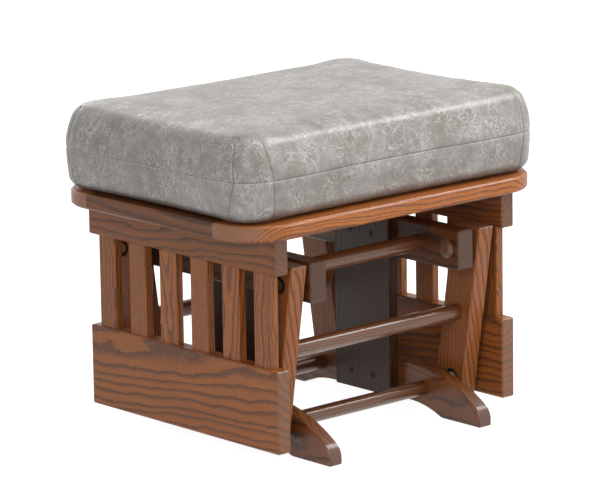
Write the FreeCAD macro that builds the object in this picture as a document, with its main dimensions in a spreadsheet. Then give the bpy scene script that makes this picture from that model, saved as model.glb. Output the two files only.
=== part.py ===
import FreeCAD, Part
import math
import os

import Sketcher

# Glider ottoman: a standing base, four hanging arms and a seat carriage that glides on them.
# X runs along the cross dowels with the right side at +X, the front is at -Y, and Z is up.
# The origin lies on the floor under the middle of the base. All sizes are in millimetres.

Vector = FreeCAD.Vector
Constraint = Sketcher.Constraint

SIZES = {
    # Base
    "base_width": 314.0,
    "foot_length": 459.0,
    "foot_thickness": 23.0,
    "foot_height": 72.0,
    "foot_nose_rise": 9.0,
    "foot_nose_radius": 25.0,
    "foot_top_radius": 240.0,
    "foot_pad_length": 79.0,
    "foot_arch_height": 16.0,
    "foot_arch_radius": 150.0,
    "foot_heel_radius": 3.0,
    "foot_edge_chamfer": 1.5,
    "base_rail_end_margin": 24.3,
    "base_rail_thickness": 30.0,
    "base_rail_height": 58.0,
    "base_rail_bottom": 227.5,
    "base_rail_edge_chamfer": 2.0,
    "post_thickness": 18.0,
    "post_width": 116.0,
    "post_bottom": 20.0,
    "post_top_drop": 3.0,
    "post_edge_chamfer": 1.5,
    "post_screw_spread": 46.0,
    "post_screw_above_bottom": 25.0,
    "post_screw_below_top": 24.0,
    "dowel_diameter": 24.0,
    "foot_dowel_diameter": 22.0,
    "dowel_spread": 220.0,
    "foot_dowel_height": 38.5,
    "socket_depth": 14.0,
    "foot_socket_depth": 12.0,
    # Hanging arms
    "upper_pivot_spread": 340.4,
    "lower_pivot_spread": 276.0,
    "lower_pivot_height": 54.3,
    "arm_thickness": 29.0,
    "arm_width": 56.0,
    "arm_end_margin": 28.0,
    "arm_pivot_offset": 5.0,
    "arm_edge_chamfer": 2.0,
    "arm_dowel_drop": 102.7,
    "rail_arm_gap": 8.8,
    "arm_skirt_gap": 10.7,
    # Side panels of the seat carriage
    "panel_thickness": 24.0,
    "panel_length": 407.0,
    "panel_edge_chamfer": 2.0,
    "skirt_bottom": 26.0,
    "skirt_height": 118.0,
    "panel_rail_height": 52.7,
    "slat_clear_length": 134.7,
    "slat_width": 36.5,
    "slat_thickness": 14.0,
    "slat_count": 6,
    "slat_end_margin": 16.5,
    "slat_edge_chamfer": 1.5,
    "tenon_width": 28.0,
    "tenon_thickness": 8.0,
    "tenon_length": 12.0,
    # Seat frame and deck
    "frame_inner_lip": 2.5,
    "frame_side_overhang": 55.5,
    "frame_end_overhang": 15.5,
    "frame_thickness": 22.3,
    "frame_board_width": 82.0,
    "frame_corner_radius": 73.0,
    "frame_edge_chamfer": 3.0,
    "joint_dowel_diameter": 8.0,
    "joint_dowel_reach": 20.0,
    "joint_dowel_spread": 44.0,
    "deck_thickness": 9.0,
    "deck_rebate": 8.0,
    "frame_screw_end_reach": 33.0,
    # Cushion
    "cushion_side_overhang": 5.0,
    "cushion_end_inset": 6.0,
    "cushion_seam_height": 61.0,
    "cushion_edge_height": 124.0,
    "cushion_crown": 6.0,
    "cushion_corner_radius": 60.0,
    "cushion_lower_radius": 32.0,
    "cushion_side_swell": 3.0,
    "cushion_upper_lean": 10.0,
    "cushion_upper_radius": 20.0,
    "cushion_draw_in": 3.5,
    "cushion_crown_reach": 100.0,
    "cushion_cap_corner_radius": 24.0,
    # Pivot hardware and screws
    "bolt_diameter": 8.0,
    "bolt_head_diameter": 20.0,
    "bolt_head_height": 5.0,
    "counterbore_diameter": 24.0,
    "counterbore_depth": 10.0,
    "button_diameter": 28.0,
    "button_height": 5.0,
    "button_rim": 1.5,
    "button_top_diameter": 16.0,
    "button_stem_length": 4.5,
    "sleeve_diameter": 14.0,
    "bearing_diameter": 26.0,
    "free_bearing_bore": 20.6,
    "nut_washer_diameter": 22.0,
    "head_washer_diameter": 16.0,
    "washer_thickness": 1.5,
    "nut_recess": 10.0,
    "hexagon_flats": 13.0,
    "nut_height": 6.5,
    "hexagon_head_height": 5.3,
    "insert_diameter": 12.0,
    "insert_length": 15.0,
    "screw_diameter": 4.5,
    "screw_head_diameter": 9.0,
    "post_screw_length": 35.0,
    "frame_screw_length": 50.0,
    # Clearances
    "glue_gap": 0.05,
    "running_gap": 0.05,
    "end_play": 0.5,
    "bottom_gap": 0.2,
    "rest_gap": 0.3,
}

doc = FreeCAD.newDocument("glider_ottoman")
sheet = doc.addObject("Spreadsheet::Sheet", "Sizes")
for row, (alias, number) in enumerate(SIZES.items(), 1):
    sheet.set(f"A{row}", alias)
    sheet.set(f"B{row}", str(number))
    sheet.setAlias(f"B{row}", alias)
doc.recompute()

# Places that several pieces share, worked out from the sheet
BASE_OUTER = "(Sizes.base_width / 2)"
FOOT_INNER = f"({BASE_OUTER} - Sizes.foot_thickness)"
RAIL_INNER = f"({BASE_OUTER} - Sizes.base_rail_thickness)"
POST_INNER = f"({FOOT_INNER} - Sizes.post_thickness)"
BOLT_SEAT = f"({RAIL_INNER} + Sizes.counterbore_depth)"
RAIL_TOP = "(Sizes.base_rail_bottom + Sizes.base_rail_height)"
POST_TOP = f"({RAIL_TOP} - Sizes.post_top_drop)"
POST_HEIGHT = f"({POST_TOP} - Sizes.post_bottom)"
HOUSING_DEPTH = f"({FOOT_INNER} - {RAIL_INNER})"
LOW_SCREW = "(Sizes.post_bottom + Sizes.post_screw_above_bottom)"
HIGH_SCREW = f"({POST_TOP} - Sizes.post_screw_below_top)"
SCREW_Y = "(Sizes.post_screw_spread / 2)"
DOWEL_Y = "(Sizes.dowel_spread / 2)"

UPPER_Y = "(Sizes.upper_pivot_spread / 2)"
UPPER_Z = "(Sizes.base_rail_bottom + Sizes.base_rail_height / 2)"
BASE_RAIL_LENGTH = f"(2 * ({UPPER_Y} + Sizes.base_rail_end_margin))"
LOWER_Y = "(Sizes.lower_pivot_spread / 2)"
LOWER_Z = "Sizes.lower_pivot_height"
ARM_LEAN = f"(({UPPER_Y} - {LOWER_Y}) / ({UPPER_Z} - {LOWER_Z}))"
ARM_SLANT = f"sqrt(1 + {ARM_LEAN} * {ARM_LEAN})"
ARM_INNER = f"({BASE_OUTER} + Sizes.rail_arm_gap)"
ARM_OUTER = f"({ARM_INNER} + Sizes.arm_thickness)"
ARM_DOWEL_Y = (
    f"({UPPER_Y} - {ARM_LEAN} * Sizes.arm_dowel_drop"
    f" - Sizes.arm_pivot_offset * {ARM_SLANT})"
)
ARM_DOWEL_Z = f"({UPPER_Z} - Sizes.arm_dowel_drop)"

PANEL_INNER = f"({ARM_OUTER} + Sizes.arm_skirt_gap)"
PANEL_OUTER = f"({PANEL_INNER} + Sizes.panel_thickness)"
PANEL_MIDDLE = f"({PANEL_INNER} + Sizes.panel_thickness / 2)"
SKIRT_TOP = "(Sizes.skirt_bottom + Sizes.skirt_height)"
PANEL_RAIL_BOTTOM = f"({SKIRT_TOP} + Sizes.slat_clear_length)"
FRAME_BOTTOM = f"({PANEL_RAIL_BOTTOM} + Sizes.panel_rail_height)"
FRAME_TOP = f"({FRAME_BOTTOM} + Sizes.frame_thickness)"
FIRST_SLAT = "(Sizes.panel_length / 2 - Sizes.slat_end_margin - Sizes.slat_width / 2)"
SLAT_PITCH = f"(2 * {FIRST_SLAT} / (Sizes.slat_count - 1))"
HALF_FRAME_X = f"({PANEL_OUTER} + Sizes.frame_side_overhang)"
HALF_FRAME_Y = "(Sizes.panel_length / 2 + Sizes.frame_end_overhang)"
OPENING_X = f"({PANEL_INNER} - Sizes.frame_inner_lip)"
OPENING_Y = f"({HALF_FRAME_Y} - Sizes.frame_board_width)"
SIDE_BOARD_WIDTH = f"({HALF_FRAME_X} - {OPENING_X})"
JOINT_DOWEL_X = f"({OPENING_X} + {SIDE_BOARD_WIDTH} / 2)"
FRAME_SCREW_Y = f"({OPENING_Y} + Sizes.frame_screw_end_reach)"
JOINT_DOWEL_LIFT = "((Sizes.frame_thickness - Sizes.deck_thickness) / 2)"

RECESS_FLOOR = f"({ARM_OUTER} - Sizes.nut_recess)"
WASHER_START = f"({RECESS_FLOOR} + Sizes.end_play)"
NUT_START = f"({WASHER_START} + Sizes.washer_thickness)"
NUT_END = f"({NUT_START} + Sizes.nut_height)"
LOWER_SLEEVE_START = f"({ARM_INNER} - Sizes.end_play)"
LOWER_HEAD_END = f"({LOWER_SLEEVE_START} - Sizes.washer_thickness)"

TOLERANCE = 1e-4
nodes = []


def value(expression):
    """The number that an expression over the sheet gives."""
    return float(sheet.evalExpression(expression))


def near(a, b):
    return abs(a - b) < TOLERANCE


def new_body(label):
    body = doc.addObject("PartDesign::Body", label)
    body.Label = label
    return body


def new_node(label):
    """A body that is exported as a node of its own."""
    body = new_body(label)
    nodes.append(body)
    return body


def place(item, x, y, z):
    item.setExpression("Placement.Base.x", x)
    item.setExpression("Placement.Base.y", y)
    item.setExpression("Placement.Base.z", z)


def place_on_side(item, side, x, z):
    """Puts a piece that is modelled for the right side on the right, or turned round on the left."""
    if side < 0:
        item.Placement = FreeCAD.Placement(Vector(), FreeCAD.Rotation(Vector(0, 0, 1), 180))
    place(item, f"{side} * {x}", "0", z)


def new_sketch(body, role, offset="0"):
    """A sketch on one of the body's own origin planes, moved along its normal by the offset."""
    plane = [item for item in body.Origin.OriginFeatures if item.Role == role][0]
    sketch = body.newObject("Sketcher::SketchObject", "Sketch")
    sketch.AttachmentSupport = [(plane, "")]
    sketch.MapMode = "FlatFace"
    sketch.setExpression("AttachmentOffset.Base.z", offset)
    return sketch


def hold(sketch, kind, *references, to):
    """Adds a dimension that follows an expression."""
    number = sketch.addConstraint(Constraint(kind, *references, value(to)))
    sketch.setExpression(f"Constraints[{number}]", to)


def hold_point(sketch, geometry, end, x, y):
    hold(sketch, "DistanceX", -1, 1, geometry, end, to=x)
    hold(sketch, "DistanceY", -1, 1, geometry, end, to=y)


def outline(sketch, corners):
    """A closed outline of straight lines through corners given as pairs of expressions."""
    points = [Vector(value(x), value(y), 0) for x, y in corners]
    first = sketch.GeometryCount
    count = len(points)
    for index, point in enumerate(points):
        sketch.addGeometry(Part.LineSegment(point, points[(index + 1) % count]), False)
    for index in range(count):
        after = first + (index + 1) % count
        sketch.addConstraint(Constraint("Coincident", first + index, 2, after, 1))
    for index, (x, y) in enumerate(corners):
        hold_point(sketch, first + index, 1, x, y)


def rectangle(sketch, low_x, high_x, low_y, high_y):
    outline(sketch, [(low_x, low_y), (high_x, low_y), (high_x, high_y), (low_x, high_y)])


def centred_rectangle(sketch, width, depth, x="0", y="0"):
    low_x, high_x = f"({x} - {width} / 2)", f"({x} + {width} / 2)"
    low_y, high_y = f"({y} - {depth} / 2)", f"({y} + {depth} / 2)"
    rectangle(sketch, low_x, high_x, low_y, high_y)


def circle(sketch, x, y, diameter):
    centre = Vector(value(x), value(y), 0)
    ring = Part.Circle(centre, Vector(0, 0, 1), value(diameter) / 2)
    index = sketch.addGeometry(ring, False)
    hold_point(sketch, index, 3, x, y)
    hold(sketch, "Diameter", index, to=diameter)


def pad(body, sketch, length, reverse=False):
    feature = body.newObject("PartDesign::Pad", "Pad")
    feature.Profile = sketch
    feature.Reversed = reverse
    feature.setExpression("Length", length)
    return feature


def pocket(body, sketch, depth, reverse=False):
    """Cuts a sketch into the body and makes sure that it took wood or metal away."""
    doc.recompute()
    before = body.Shape.Volume
    feature = body.newObject("PartDesign::Pocket", "Pocket")
    feature.Profile = sketch
    feature.Reversed = reverse
    feature.setExpression("Length", depth)
    doc.recompute()
    if body.Shape.Volume > before - TOLERANCE:
        raise RuntimeError(f"{body.Label}: a pocket points away from the solid")
    return feature


def round_holes(body, role, offset, centres, diameter, depth, reverse):
    sketch = new_sketch(body, role, offset)
    for x, y in centres:
        circle(sketch, x, y, diameter)
    return pocket(body, sketch, depth, reverse)


def edge_names(feature, test):
    return [f"Edge{number}" for number, edge in enumerate(feature.Shape.Edges, 1) if test(edge)]


def dress(body, kind, prop, size, test):
    """Adds a fillet or chamfer along the edges that pass the test."""
    doc.recompute()
    base = body.Tip
    chosen = edge_names(base, test)
    if not chosen:
        raise RuntimeError(f"{body.Label}: no edge to dress")
    feature = body.newObject(kind, "Dressing")
    feature.Base = (base, chosen)
    feature.setExpression(prop, size)
    return feature


def fillet(body, radius, test):
    return dress(body, "PartDesign::Fillet", "Radius", radius, test)


def chamfer(body, size, test):
    return dress(body, "PartDesign::Chamfer", "Size", size, test)


def is_straight(edge):
    return edge.Curve.TypeId == "Part::GeomLine"


def is_ring(edge, x=None, y=None, z=None, radius=None):
    """A whole circle, with its centre on the planes that are given."""
    if edge.Curve.TypeId != "Part::GeomCircle":
        return False
    centre = edge.Curve.Center
    wanted = ((centre.x, x), (centre.y, y), (centre.z, z), (edge.Curve.Radius, radius))
    return all(place_wanted is None or near(found, place_wanted) for found, place_wanted in wanted)


def along(edge, axis):
    """A straight edge parallel to an axis."""
    if not is_straight(edge):
        return False
    return near(abs(edge.Curve.Direction.dot(axis)), 1.0)


def board(body, width, depth, height):
    """A squared board, centred on its own origin in plan and standing on it."""
    sketch = new_sketch(body, "XY_Plane")
    centred_rectangle(sketch, width, depth)
    pad(body, sketch, height)


def mirrored(source, normal):
    copy = doc.addObject("Part::Mirroring", f"{source.Name}_mirrored")
    copy.Source = source
    copy.Normal = normal
    return copy


def grouped(label, members):
    node = doc.addObject("Part::Compound", label)
    node.Label = label
    node.Links = members
    nodes.append(node)


def on_both_sides(members):
    return members + [mirrored(member, Vector(1, 0, 0)) for member in members]


def at_four_corners(members):
    both_ends = members + [mirrored(member, Vector(0, 1, 0)) for member in members]
    return on_both_sides(both_ends)


def revolve(body, corners):
    """A solid turned about X, from corners given as pairs of place along X and radius."""
    sketch = new_sketch(body, "XZ_Plane")
    outline(sketch, corners)
    turned = body.newObject("PartDesign::Revolution", "Revolution")
    turned.Profile = sketch
    turned.ReferenceAxis = (sketch, ["H_Axis"])
    turned.Angle = 360


def grown(size, gap):
    """A bore's diameter for a pin of a size with a gap all round."""
    return f"({size} + 2 * {gap})"


# Base


def foot_profile(sketch):
    """Half of the foot, seen from the side: pad, arch, rounded toe and long falling top."""
    half = value("Sizes.foot_length / 2")
    height = value("Sizes.foot_height")
    rise = value("Sizes.foot_nose_rise")
    nose = value("Sizes.foot_nose_radius")
    sweep = value("Sizes.foot_top_radius")
    arch = value("Sizes.foot_arch_height")
    bend = value("Sizes.foot_arch_radius")
    pad_end = half - value("Sizes.foot_pad_length")
    arch_start = pad_end - math.sqrt(bend**2 - (bend - arch) ** 2)
    nose_centre = Vector(half - nose, rise, 0)
    fall = height - sweep
    reach = math.sqrt((sweep - nose) ** 2 - (rise - fall) ** 2)
    top_centre = Vector(nose_centre.x - reach, fall, 0)
    arch_centre = Vector(arch_start, arch - bend, 0)
    meet = math.atan2(nose_centre.y - top_centre.y, nose_centre.x - top_centre.x)
    square = math.pi / 2
    toe = math.atan2(-arch_centre.y, pad_end - arch_centre.x)
    up = Vector(0, 0, 1)

    ceiling = Part.LineSegment(Vector(0, arch, 0), Vector(arch_start, arch, 0))
    arch_arc = Part.ArcOfCircle(Part.Circle(arch_centre, up, bend), toe, square)
    sole = Part.LineSegment(Vector(pad_end, 0, 0), Vector(half, 0, 0))
    toe_line = Part.LineSegment(Vector(half, 0, 0), Vector(half, rise, 0))
    nose_arc = Part.ArcOfCircle(Part.Circle(nose_centre, up, nose), 0, meet)
    top_arc = Part.ArcOfCircle(Part.Circle(top_centre, up, sweep), meet, square)
    top_line = Part.LineSegment(Vector(top_centre.x, height, 0), Vector(0, height, 0))
    middle = Part.LineSegment(Vector(0, height, 0), Vector(0, arch, 0))
    pieces = [ceiling, arch_arc, sole, toe_line, nose_arc, top_arc, top_line, middle]
    ceiling, arch_arc, sole, toe_line, nose_arc, top_arc, top_line, middle = (
        sketch.addGeometry(piece, False) for piece in pieces
    )

    start, end = 1, 2
    for level in (ceiling, sole, top_line):
        sketch.addConstraint(Constraint("Horizontal", level))
    for upright in (toe_line, middle):
        sketch.addConstraint(Constraint("Vertical", upright))
    sketch.addConstraint(Constraint("Tangent", ceiling, end, arch_arc, end))
    sketch.addConstraint(Constraint("Coincident", arch_arc, start, sole, start))
    sketch.addConstraint(Constraint("Coincident", sole, end, toe_line, start))
    sketch.addConstraint(Constraint("Tangent", toe_line, end, nose_arc, start))
    sketch.addConstraint(Constraint("Tangent", nose_arc, end, top_arc, start))
    sketch.addConstraint(Constraint("Tangent", top_arc, end, top_line, start))
    sketch.addConstraint(Constraint("Coincident", top_line, end, middle, start))
    sketch.addConstraint(Constraint("Coincident", middle, end, ceiling, start))
    hold_point(sketch, ceiling, start, "0", "Sizes.foot_arch_height")
    hold_point(sketch, sole, start, "Sizes.foot_length / 2 - Sizes.foot_pad_length", "0")
    hold(sketch, "DistanceX", -1, 1, sole, end, to="Sizes.foot_length / 2")
    hold(sketch, "DistanceY", -1, 1, toe_line, end, to="Sizes.foot_nose_rise")
    hold(sketch, "DistanceY", -1, 1, top_line, end, to="Sizes.foot_height")
    hold(sketch, "Radius", arch_arc, to="Sizes.foot_arch_radius")
    hold(sketch, "Radius", nose_arc, to="Sizes.foot_nose_radius")
    hold(sketch, "Radius", top_arc, to="Sizes.foot_top_radius")


def foot(label, side):
    body = new_node(label)
    sketch = new_sketch(body, "YZ_Plane")
    foot_profile(sketch)
    half = pad(body, sketch, "Sizes.foot_thickness")
    doc.recompute()
    mirror = body.newObject("PartDesign::Mirrored", "Mirrored")
    mirror.Originals = [half]
    mirror.MirrorPlane = (
        [item for item in body.Origin.OriginFeatures if item.Role == "XZ_Plane"][0],
        [""],
    )
    body.Tip = mirror
    half_length = value("Sizes.foot_length / 2")
    fillet(
        body,
        "Sizes.foot_heel_radius",
        lambda edge: along(edge, Vector(1, 0, 0))
        and near(abs(edge.CenterOfMass.y), half_length)
        and near(edge.CenterOfMass.z, 0),
    )
    outer = value("Sizes.foot_thickness")
    sole_limit = value("Sizes.foot_heel_radius")

    def shows(edge):
        box = edge.BoundBox
        flat = near(box.XMin, box.XMax) and (near(box.XMin, 0) or near(box.XMin, outer))
        return flat and edge.CenterOfMass.z > value("Sizes.foot_arch_height") + sole_limit

    chamfer(body, "Sizes.foot_edge_chamfer", shows)
    sockets = [(f"{end} * {DOWEL_Y}", "Sizes.foot_dowel_height") for end in (-1, 1)]
    bore = grown("Sizes.foot_dowel_diameter", "Sizes.glue_gap")
    round_holes(body, "YZ_Plane", "0", sockets, bore, "Sizes.foot_socket_depth", True)
    screws = [(f"{end} * {SCREW_Y}", LOW_SCREW) for end in (-1, 1)]
    pilot = grown("Sizes.screw_diameter", "Sizes.glue_gap")
    reach = "(Sizes.post_screw_length - Sizes.post_thickness + Sizes.bottom_gap)"
    round_holes(body, "YZ_Plane", "0", screws, pilot, reach, True)
    place_on_side(body, side, FOOT_INNER, "0")


def base_rail(label, side):
    """A stout top rail, housed on its inner face for the post and bored for the pivots."""
    body = new_node(label)
    board(body, "Sizes.base_rail_thickness", BASE_RAIL_LENGTH, "Sizes.base_rail_height")
    chamfer(body, "Sizes.base_rail_edge_chamfer", is_straight)
    inner_face = "(-Sizes.base_rail_thickness / 2)"
    housing = new_sketch(body, "YZ_Plane", inner_face)
    half_post = "(Sizes.post_width / 2)"
    ceiling = "(Sizes.base_rail_height - Sizes.post_top_drop + Sizes.glue_gap)"
    rectangle(housing, f"(-{half_post})", half_post, "(-Sizes.glue_gap)", ceiling)
    pocket(body, housing, HOUSING_DEPTH, True)
    middle = "(Sizes.base_rail_height / 2)"
    sockets = [(f"{end} * {DOWEL_Y}", middle) for end in (-1, 1)]
    bore = grown("Sizes.dowel_diameter", "Sizes.glue_gap")
    round_holes(body, "YZ_Plane", inner_face, sockets, bore, "Sizes.socket_depth", True)
    pivots = [(f"{end} * {UPPER_Y}", middle) for end in (-1, 1)]
    hole = grown("Sizes.bolt_diameter", "Sizes.glue_gap")
    through = "Sizes.base_rail_thickness"
    round_holes(body, "YZ_Plane", inner_face, pivots, hole, through, True)
    recess = grown("Sizes.counterbore_diameter", "Sizes.glue_gap")
    round_holes(body, "YZ_Plane", inner_face, pivots, recess, "Sizes.counterbore_depth", True)
    screws = [(f"{end} * {SCREW_Y}", f"({HIGH_SCREW} - Sizes.base_rail_bottom)") for end in (-1, 1)]
    pilot = grown("Sizes.screw_diameter", "Sizes.glue_gap")
    reach = "(Sizes.post_screw_length - Sizes.post_thickness + Sizes.bottom_gap)"
    floor = f"({inner_face} + {HOUSING_DEPTH})"
    round_holes(body, "YZ_Plane", floor, screws, pilot, reach, True)
    middle_x = f"({BASE_OUTER} - Sizes.base_rail_thickness / 2)"
    place_on_side(body, side, middle_x, "Sizes.base_rail_bottom")


def post(label, side):
    """The upright board between a foot and its top rail, with four countersunk screw holes."""
    body = new_node(label)
    board(body, "Sizes.post_thickness", "Sizes.post_width", POST_HEIGHT)
    inner_x = -value("Sizes.post_thickness / 2")
    chamfer(
        body,
        "Sizes.post_edge_chamfer",
        lambda edge: along(edge, Vector(0, 0, 1)) and near(edge.CenterOfMass.x, inner_x),
    )
    heights = ("Sizes.post_screw_above_bottom", f"({POST_HEIGHT} - Sizes.post_screw_below_top)")
    screws = [(f"{end} * {SCREW_Y}", height) for end in (-1, 1) for height in heights]
    hole = grown("Sizes.screw_diameter", "Sizes.glue_gap")
    inner_face = "(-Sizes.post_thickness / 2)"
    round_holes(body, "YZ_Plane", inner_face, screws, hole, "Sizes.post_thickness", True)
    sink = "((Sizes.screw_head_diameter - Sizes.screw_diameter) / 2)"
    chamfer(body, sink, lambda edge: is_ring(edge, x=inner_x))
    place_on_side(body, side, f"({POST_INNER} + Sizes.post_thickness / 2)", "Sizes.post_bottom")


def cross_dowel(label, diameter, half_length, y, z):
    """A turned rod along X, glued into a socket at each end."""
    body = new_node(label)
    sketch = new_sketch(body, "YZ_Plane", f"(-{half_length})")
    circle(sketch, "0", "0", diameter)
    pad(body, sketch, f"(2 * {half_length})")
    place(body, "0", y, z)


def base_dowels():
    top_half = f"({RAIL_INNER} + Sizes.socket_depth - Sizes.bottom_gap)"
    bottom_half = f"({FOOT_INNER} + Sizes.foot_socket_depth - Sizes.bottom_gap)"
    for name, end in (("front", -1), ("rear", 1)):
        y = f"{end} * {DOWEL_Y}"
        cross_dowel(f"{name}_top_dowel", "Sizes.dowel_diameter", top_half, y, UPPER_Z)
        low = "Sizes.foot_dowel_height"
        cross_dowel(f"{name}_bottom_dowel", "Sizes.foot_dowel_diameter", bottom_half, y, low)


# Screws


def wood_screw(label, length):
    """A countersunk screw along X, with its head's flat face at the origin and its end at +X."""
    body = new_body(label)
    head = "(Sizes.screw_head_diameter / 2)"
    shank = "(Sizes.screw_diameter / 2)"
    corners = [
        ("0", "0"),
        (length, "0"),
        (length, shank),
        (f"({head} - {shank})", shank),
        ("0", head),
    ]
    revolve(body, corners)
    return body


def post_screws():
    members = []
    for name, height in (("low", LOW_SCREW), ("high", HIGH_SCREW)):
        screw = wood_screw(f"post_screw_{name}", "Sizes.post_screw_length")
        place(screw, POST_INNER, f"(-{SCREW_Y})", height)
        members.append(screw)
    grouped("post_screws", at_four_corners(members))


def frame_screws():
    screw = wood_screw("frame_screw", "Sizes.frame_screw_length")
    point_down = FreeCAD.Rotation(Vector(0, 1, 0), 90)
    screw.Placement = FreeCAD.Placement(Vector(), point_down)
    place(screw, PANEL_MIDDLE, f"(-{FRAME_SCREW_Y})", FRAME_TOP)
    grouped("frame_screws", at_four_corners([screw]))


# Hanging arms


def arm(label, side, end):
    """A flat board that leans inwards towards the floor, bored for its bearings and dowel."""
    body = new_node(label)
    outward = f"((Sizes.arm_width / 2 - Sizes.arm_pivot_offset) * {ARM_SLANT})"
    inward = f"((Sizes.arm_width / 2 + Sizes.arm_pivot_offset) * {ARM_SLANT})"
    top_y = f"({UPPER_Y} + {ARM_LEAN} * Sizes.arm_end_margin)"
    bottom_y = f"({LOWER_Y} - {ARM_LEAN} * Sizes.arm_end_margin)"
    top_z = f"({UPPER_Z} + Sizes.arm_end_margin)"
    bottom_z = f"({LOWER_Z} - Sizes.arm_end_margin)"
    corners = [
        (f"{end} * ({top_y} + {outward})", top_z),
        (f"{end} * ({top_y} - {inward})", top_z),
        (f"{end} * ({bottom_y} - {inward})", bottom_z),
        (f"{end} * ({bottom_y} + {outward})", bottom_z),
    ]
    sketch = new_sketch(body, "YZ_Plane")
    outline(sketch, corners)
    leftwards = side < 0
    pad(body, sketch, "Sizes.arm_thickness", leftwards)
    chamfer(body, "Sizes.arm_edge_chamfer", is_straight)
    into = side > 0
    pivots = [(f"{end} * {UPPER_Y}", UPPER_Z), (f"{end} * {LOWER_Y}", LOWER_Z)]
    seat = grown("Sizes.bearing_diameter", "Sizes.glue_gap")
    round_holes(body, "YZ_Plane", "0", pivots, seat, "Sizes.arm_thickness", into)
    socket = [(f"{end} * {ARM_DOWEL_Y}", ARM_DOWEL_Z)]
    bore = grown("Sizes.dowel_diameter", "Sizes.glue_gap")
    round_holes(body, "YZ_Plane", "0", socket, bore, "Sizes.socket_depth", into)
    place(body, f"{side} * {ARM_INNER}", "0", "0")


def arm_pair(name, end, lower_bore):
    """Two arms, the dowel that ties them and four bearings; the upper ones leave a nut's recess."""
    for hand, side in (("left", -1), ("right", 1)):
        arm(f"{name}_{hand}_arm", side, end)
    half = f"({ARM_INNER} + Sizes.socket_depth - Sizes.bottom_gap)"
    y = f"{end} * {ARM_DOWEL_Y}"
    cross_dowel(f"{name}_arm_dowel", "Sizes.dowel_diameter", half, y, ARM_DOWEL_Z)
    upper_bore = grown("Sizes.sleeve_diameter", "Sizes.running_gap")
    shell = "Sizes.bearing_diameter"
    places = (
        ("upper", RECESS_FLOOR, upper_bore, f"{end} * {UPPER_Y}", UPPER_Z),
        ("lower", ARM_OUTER, lower_bore, f"{end} * {LOWER_Y}", LOWER_Z),
    )
    members = [
        tube(f"{name}_{level}_bearing", ARM_INNER, finish, shell, bore, y, z)
        for level, finish, bore, y, z in places
    ]
    grouped(f"{name}_arm_bearings", on_both_sides(members))


# Pivot hardware


def tube(label, start, end, outer, inner, y, z):
    """A plain ring or sleeve along X."""
    body = new_body(label)
    outer_radius, inner_radius = f"({outer} / 2)", f"({inner} / 2)"
    corners = [
        (start, inner_radius), (end, inner_radius), (end, outer_radius), (start, outer_radius),
    ]
    revolve(body, corners)
    place(body, "0", y, z)
    return body


def hexagon(sketch, flats):
    """A regular hexagon round the sketch's origin, with two corners on its vertical axis."""
    half_flats = f"({flats} / 2)"
    corner = f"({flats} / sqrt(3))"
    shoulder = f"({corner} / 2)"
    corners = [
        ("0", corner), (f"(-{half_flats})", shoulder), (f"(-{half_flats})", f"(-{shoulder})"),
        ("0", f"(-{corner})"), (half_flats, f"(-{shoulder})"), (half_flats, shoulder),
    ]
    outline(sketch, corners)


def button(y):
    """A turned wooden button that covers a counterbore, with a stem that fits it."""
    body = new_body("upper_pivot_button")
    stem, rim = "(Sizes.counterbore_diameter / 2)", "(Sizes.button_diameter / 2)"
    crown = "(Sizes.button_top_diameter / 2)"
    stem_end = f"({RAIL_INNER} + Sizes.button_stem_length)"
    shoulder = f"({RAIL_INNER} - Sizes.button_rim)"
    face = f"({RAIL_INNER} - Sizes.button_height)"
    corners = [
        (face, "0"), (stem_end, "0"), (stem_end, stem), (RAIL_INNER, stem),
        (RAIL_INNER, rim), (shoulder, rim), (face, crown),
    ]
    revolve(body, corners)
    place(body, "0", y, UPPER_Z)
    return body


def upper_pivots():
    """Bolts through the base rails under wooden buttons, their sleeves, washers and nuts."""
    y = f"(-{UPPER_Y})"
    hole = grown("Sizes.bolt_diameter", "Sizes.glue_gap")
    head, shank = "(Sizes.bolt_head_diameter / 2)", "(Sizes.bolt_diameter / 2)"
    bolt = new_body("upper_pivot_bolt")
    back = f"({BOLT_SEAT} - Sizes.bolt_head_height)"
    corners = [
        (back, "0"), (NUT_END, "0"), (NUT_END, shank),
        (BOLT_SEAT, shank), (BOLT_SEAT, head), (back, head),
    ]
    revolve(bolt, corners)
    place(bolt, "0", y, UPPER_Z)
    sleeve = tube(
        "upper_pivot_sleeve", BASE_OUTER, WASHER_START, "Sizes.sleeve_diameter", hole, y, UPPER_Z
    )
    washer = tube(
        "upper_pivot_washer", WASHER_START, NUT_START, "Sizes.nut_washer_diameter", hole, y, UPPER_Z
    )
    nut = new_body("upper_pivot_nut")
    sketch = new_sketch(nut, "YZ_Plane")
    hexagon(sketch, "Sizes.hexagon_flats")
    circle(sketch, "0", "0", hole)
    pad(nut, sketch, "Sizes.nut_height")
    place(nut, NUT_START, y, UPPER_Z)
    grouped("upper_pivot_bolts", at_four_corners([bolt]))
    grouped("upper_pivot_buttons", at_four_corners([button(y)]))
    grouped("upper_pivot_sleeves", at_four_corners([sleeve]))
    grouped("upper_pivot_washers", at_four_corners([washer]))
    grouped("upper_pivot_nuts", at_four_corners([nut]))


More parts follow.
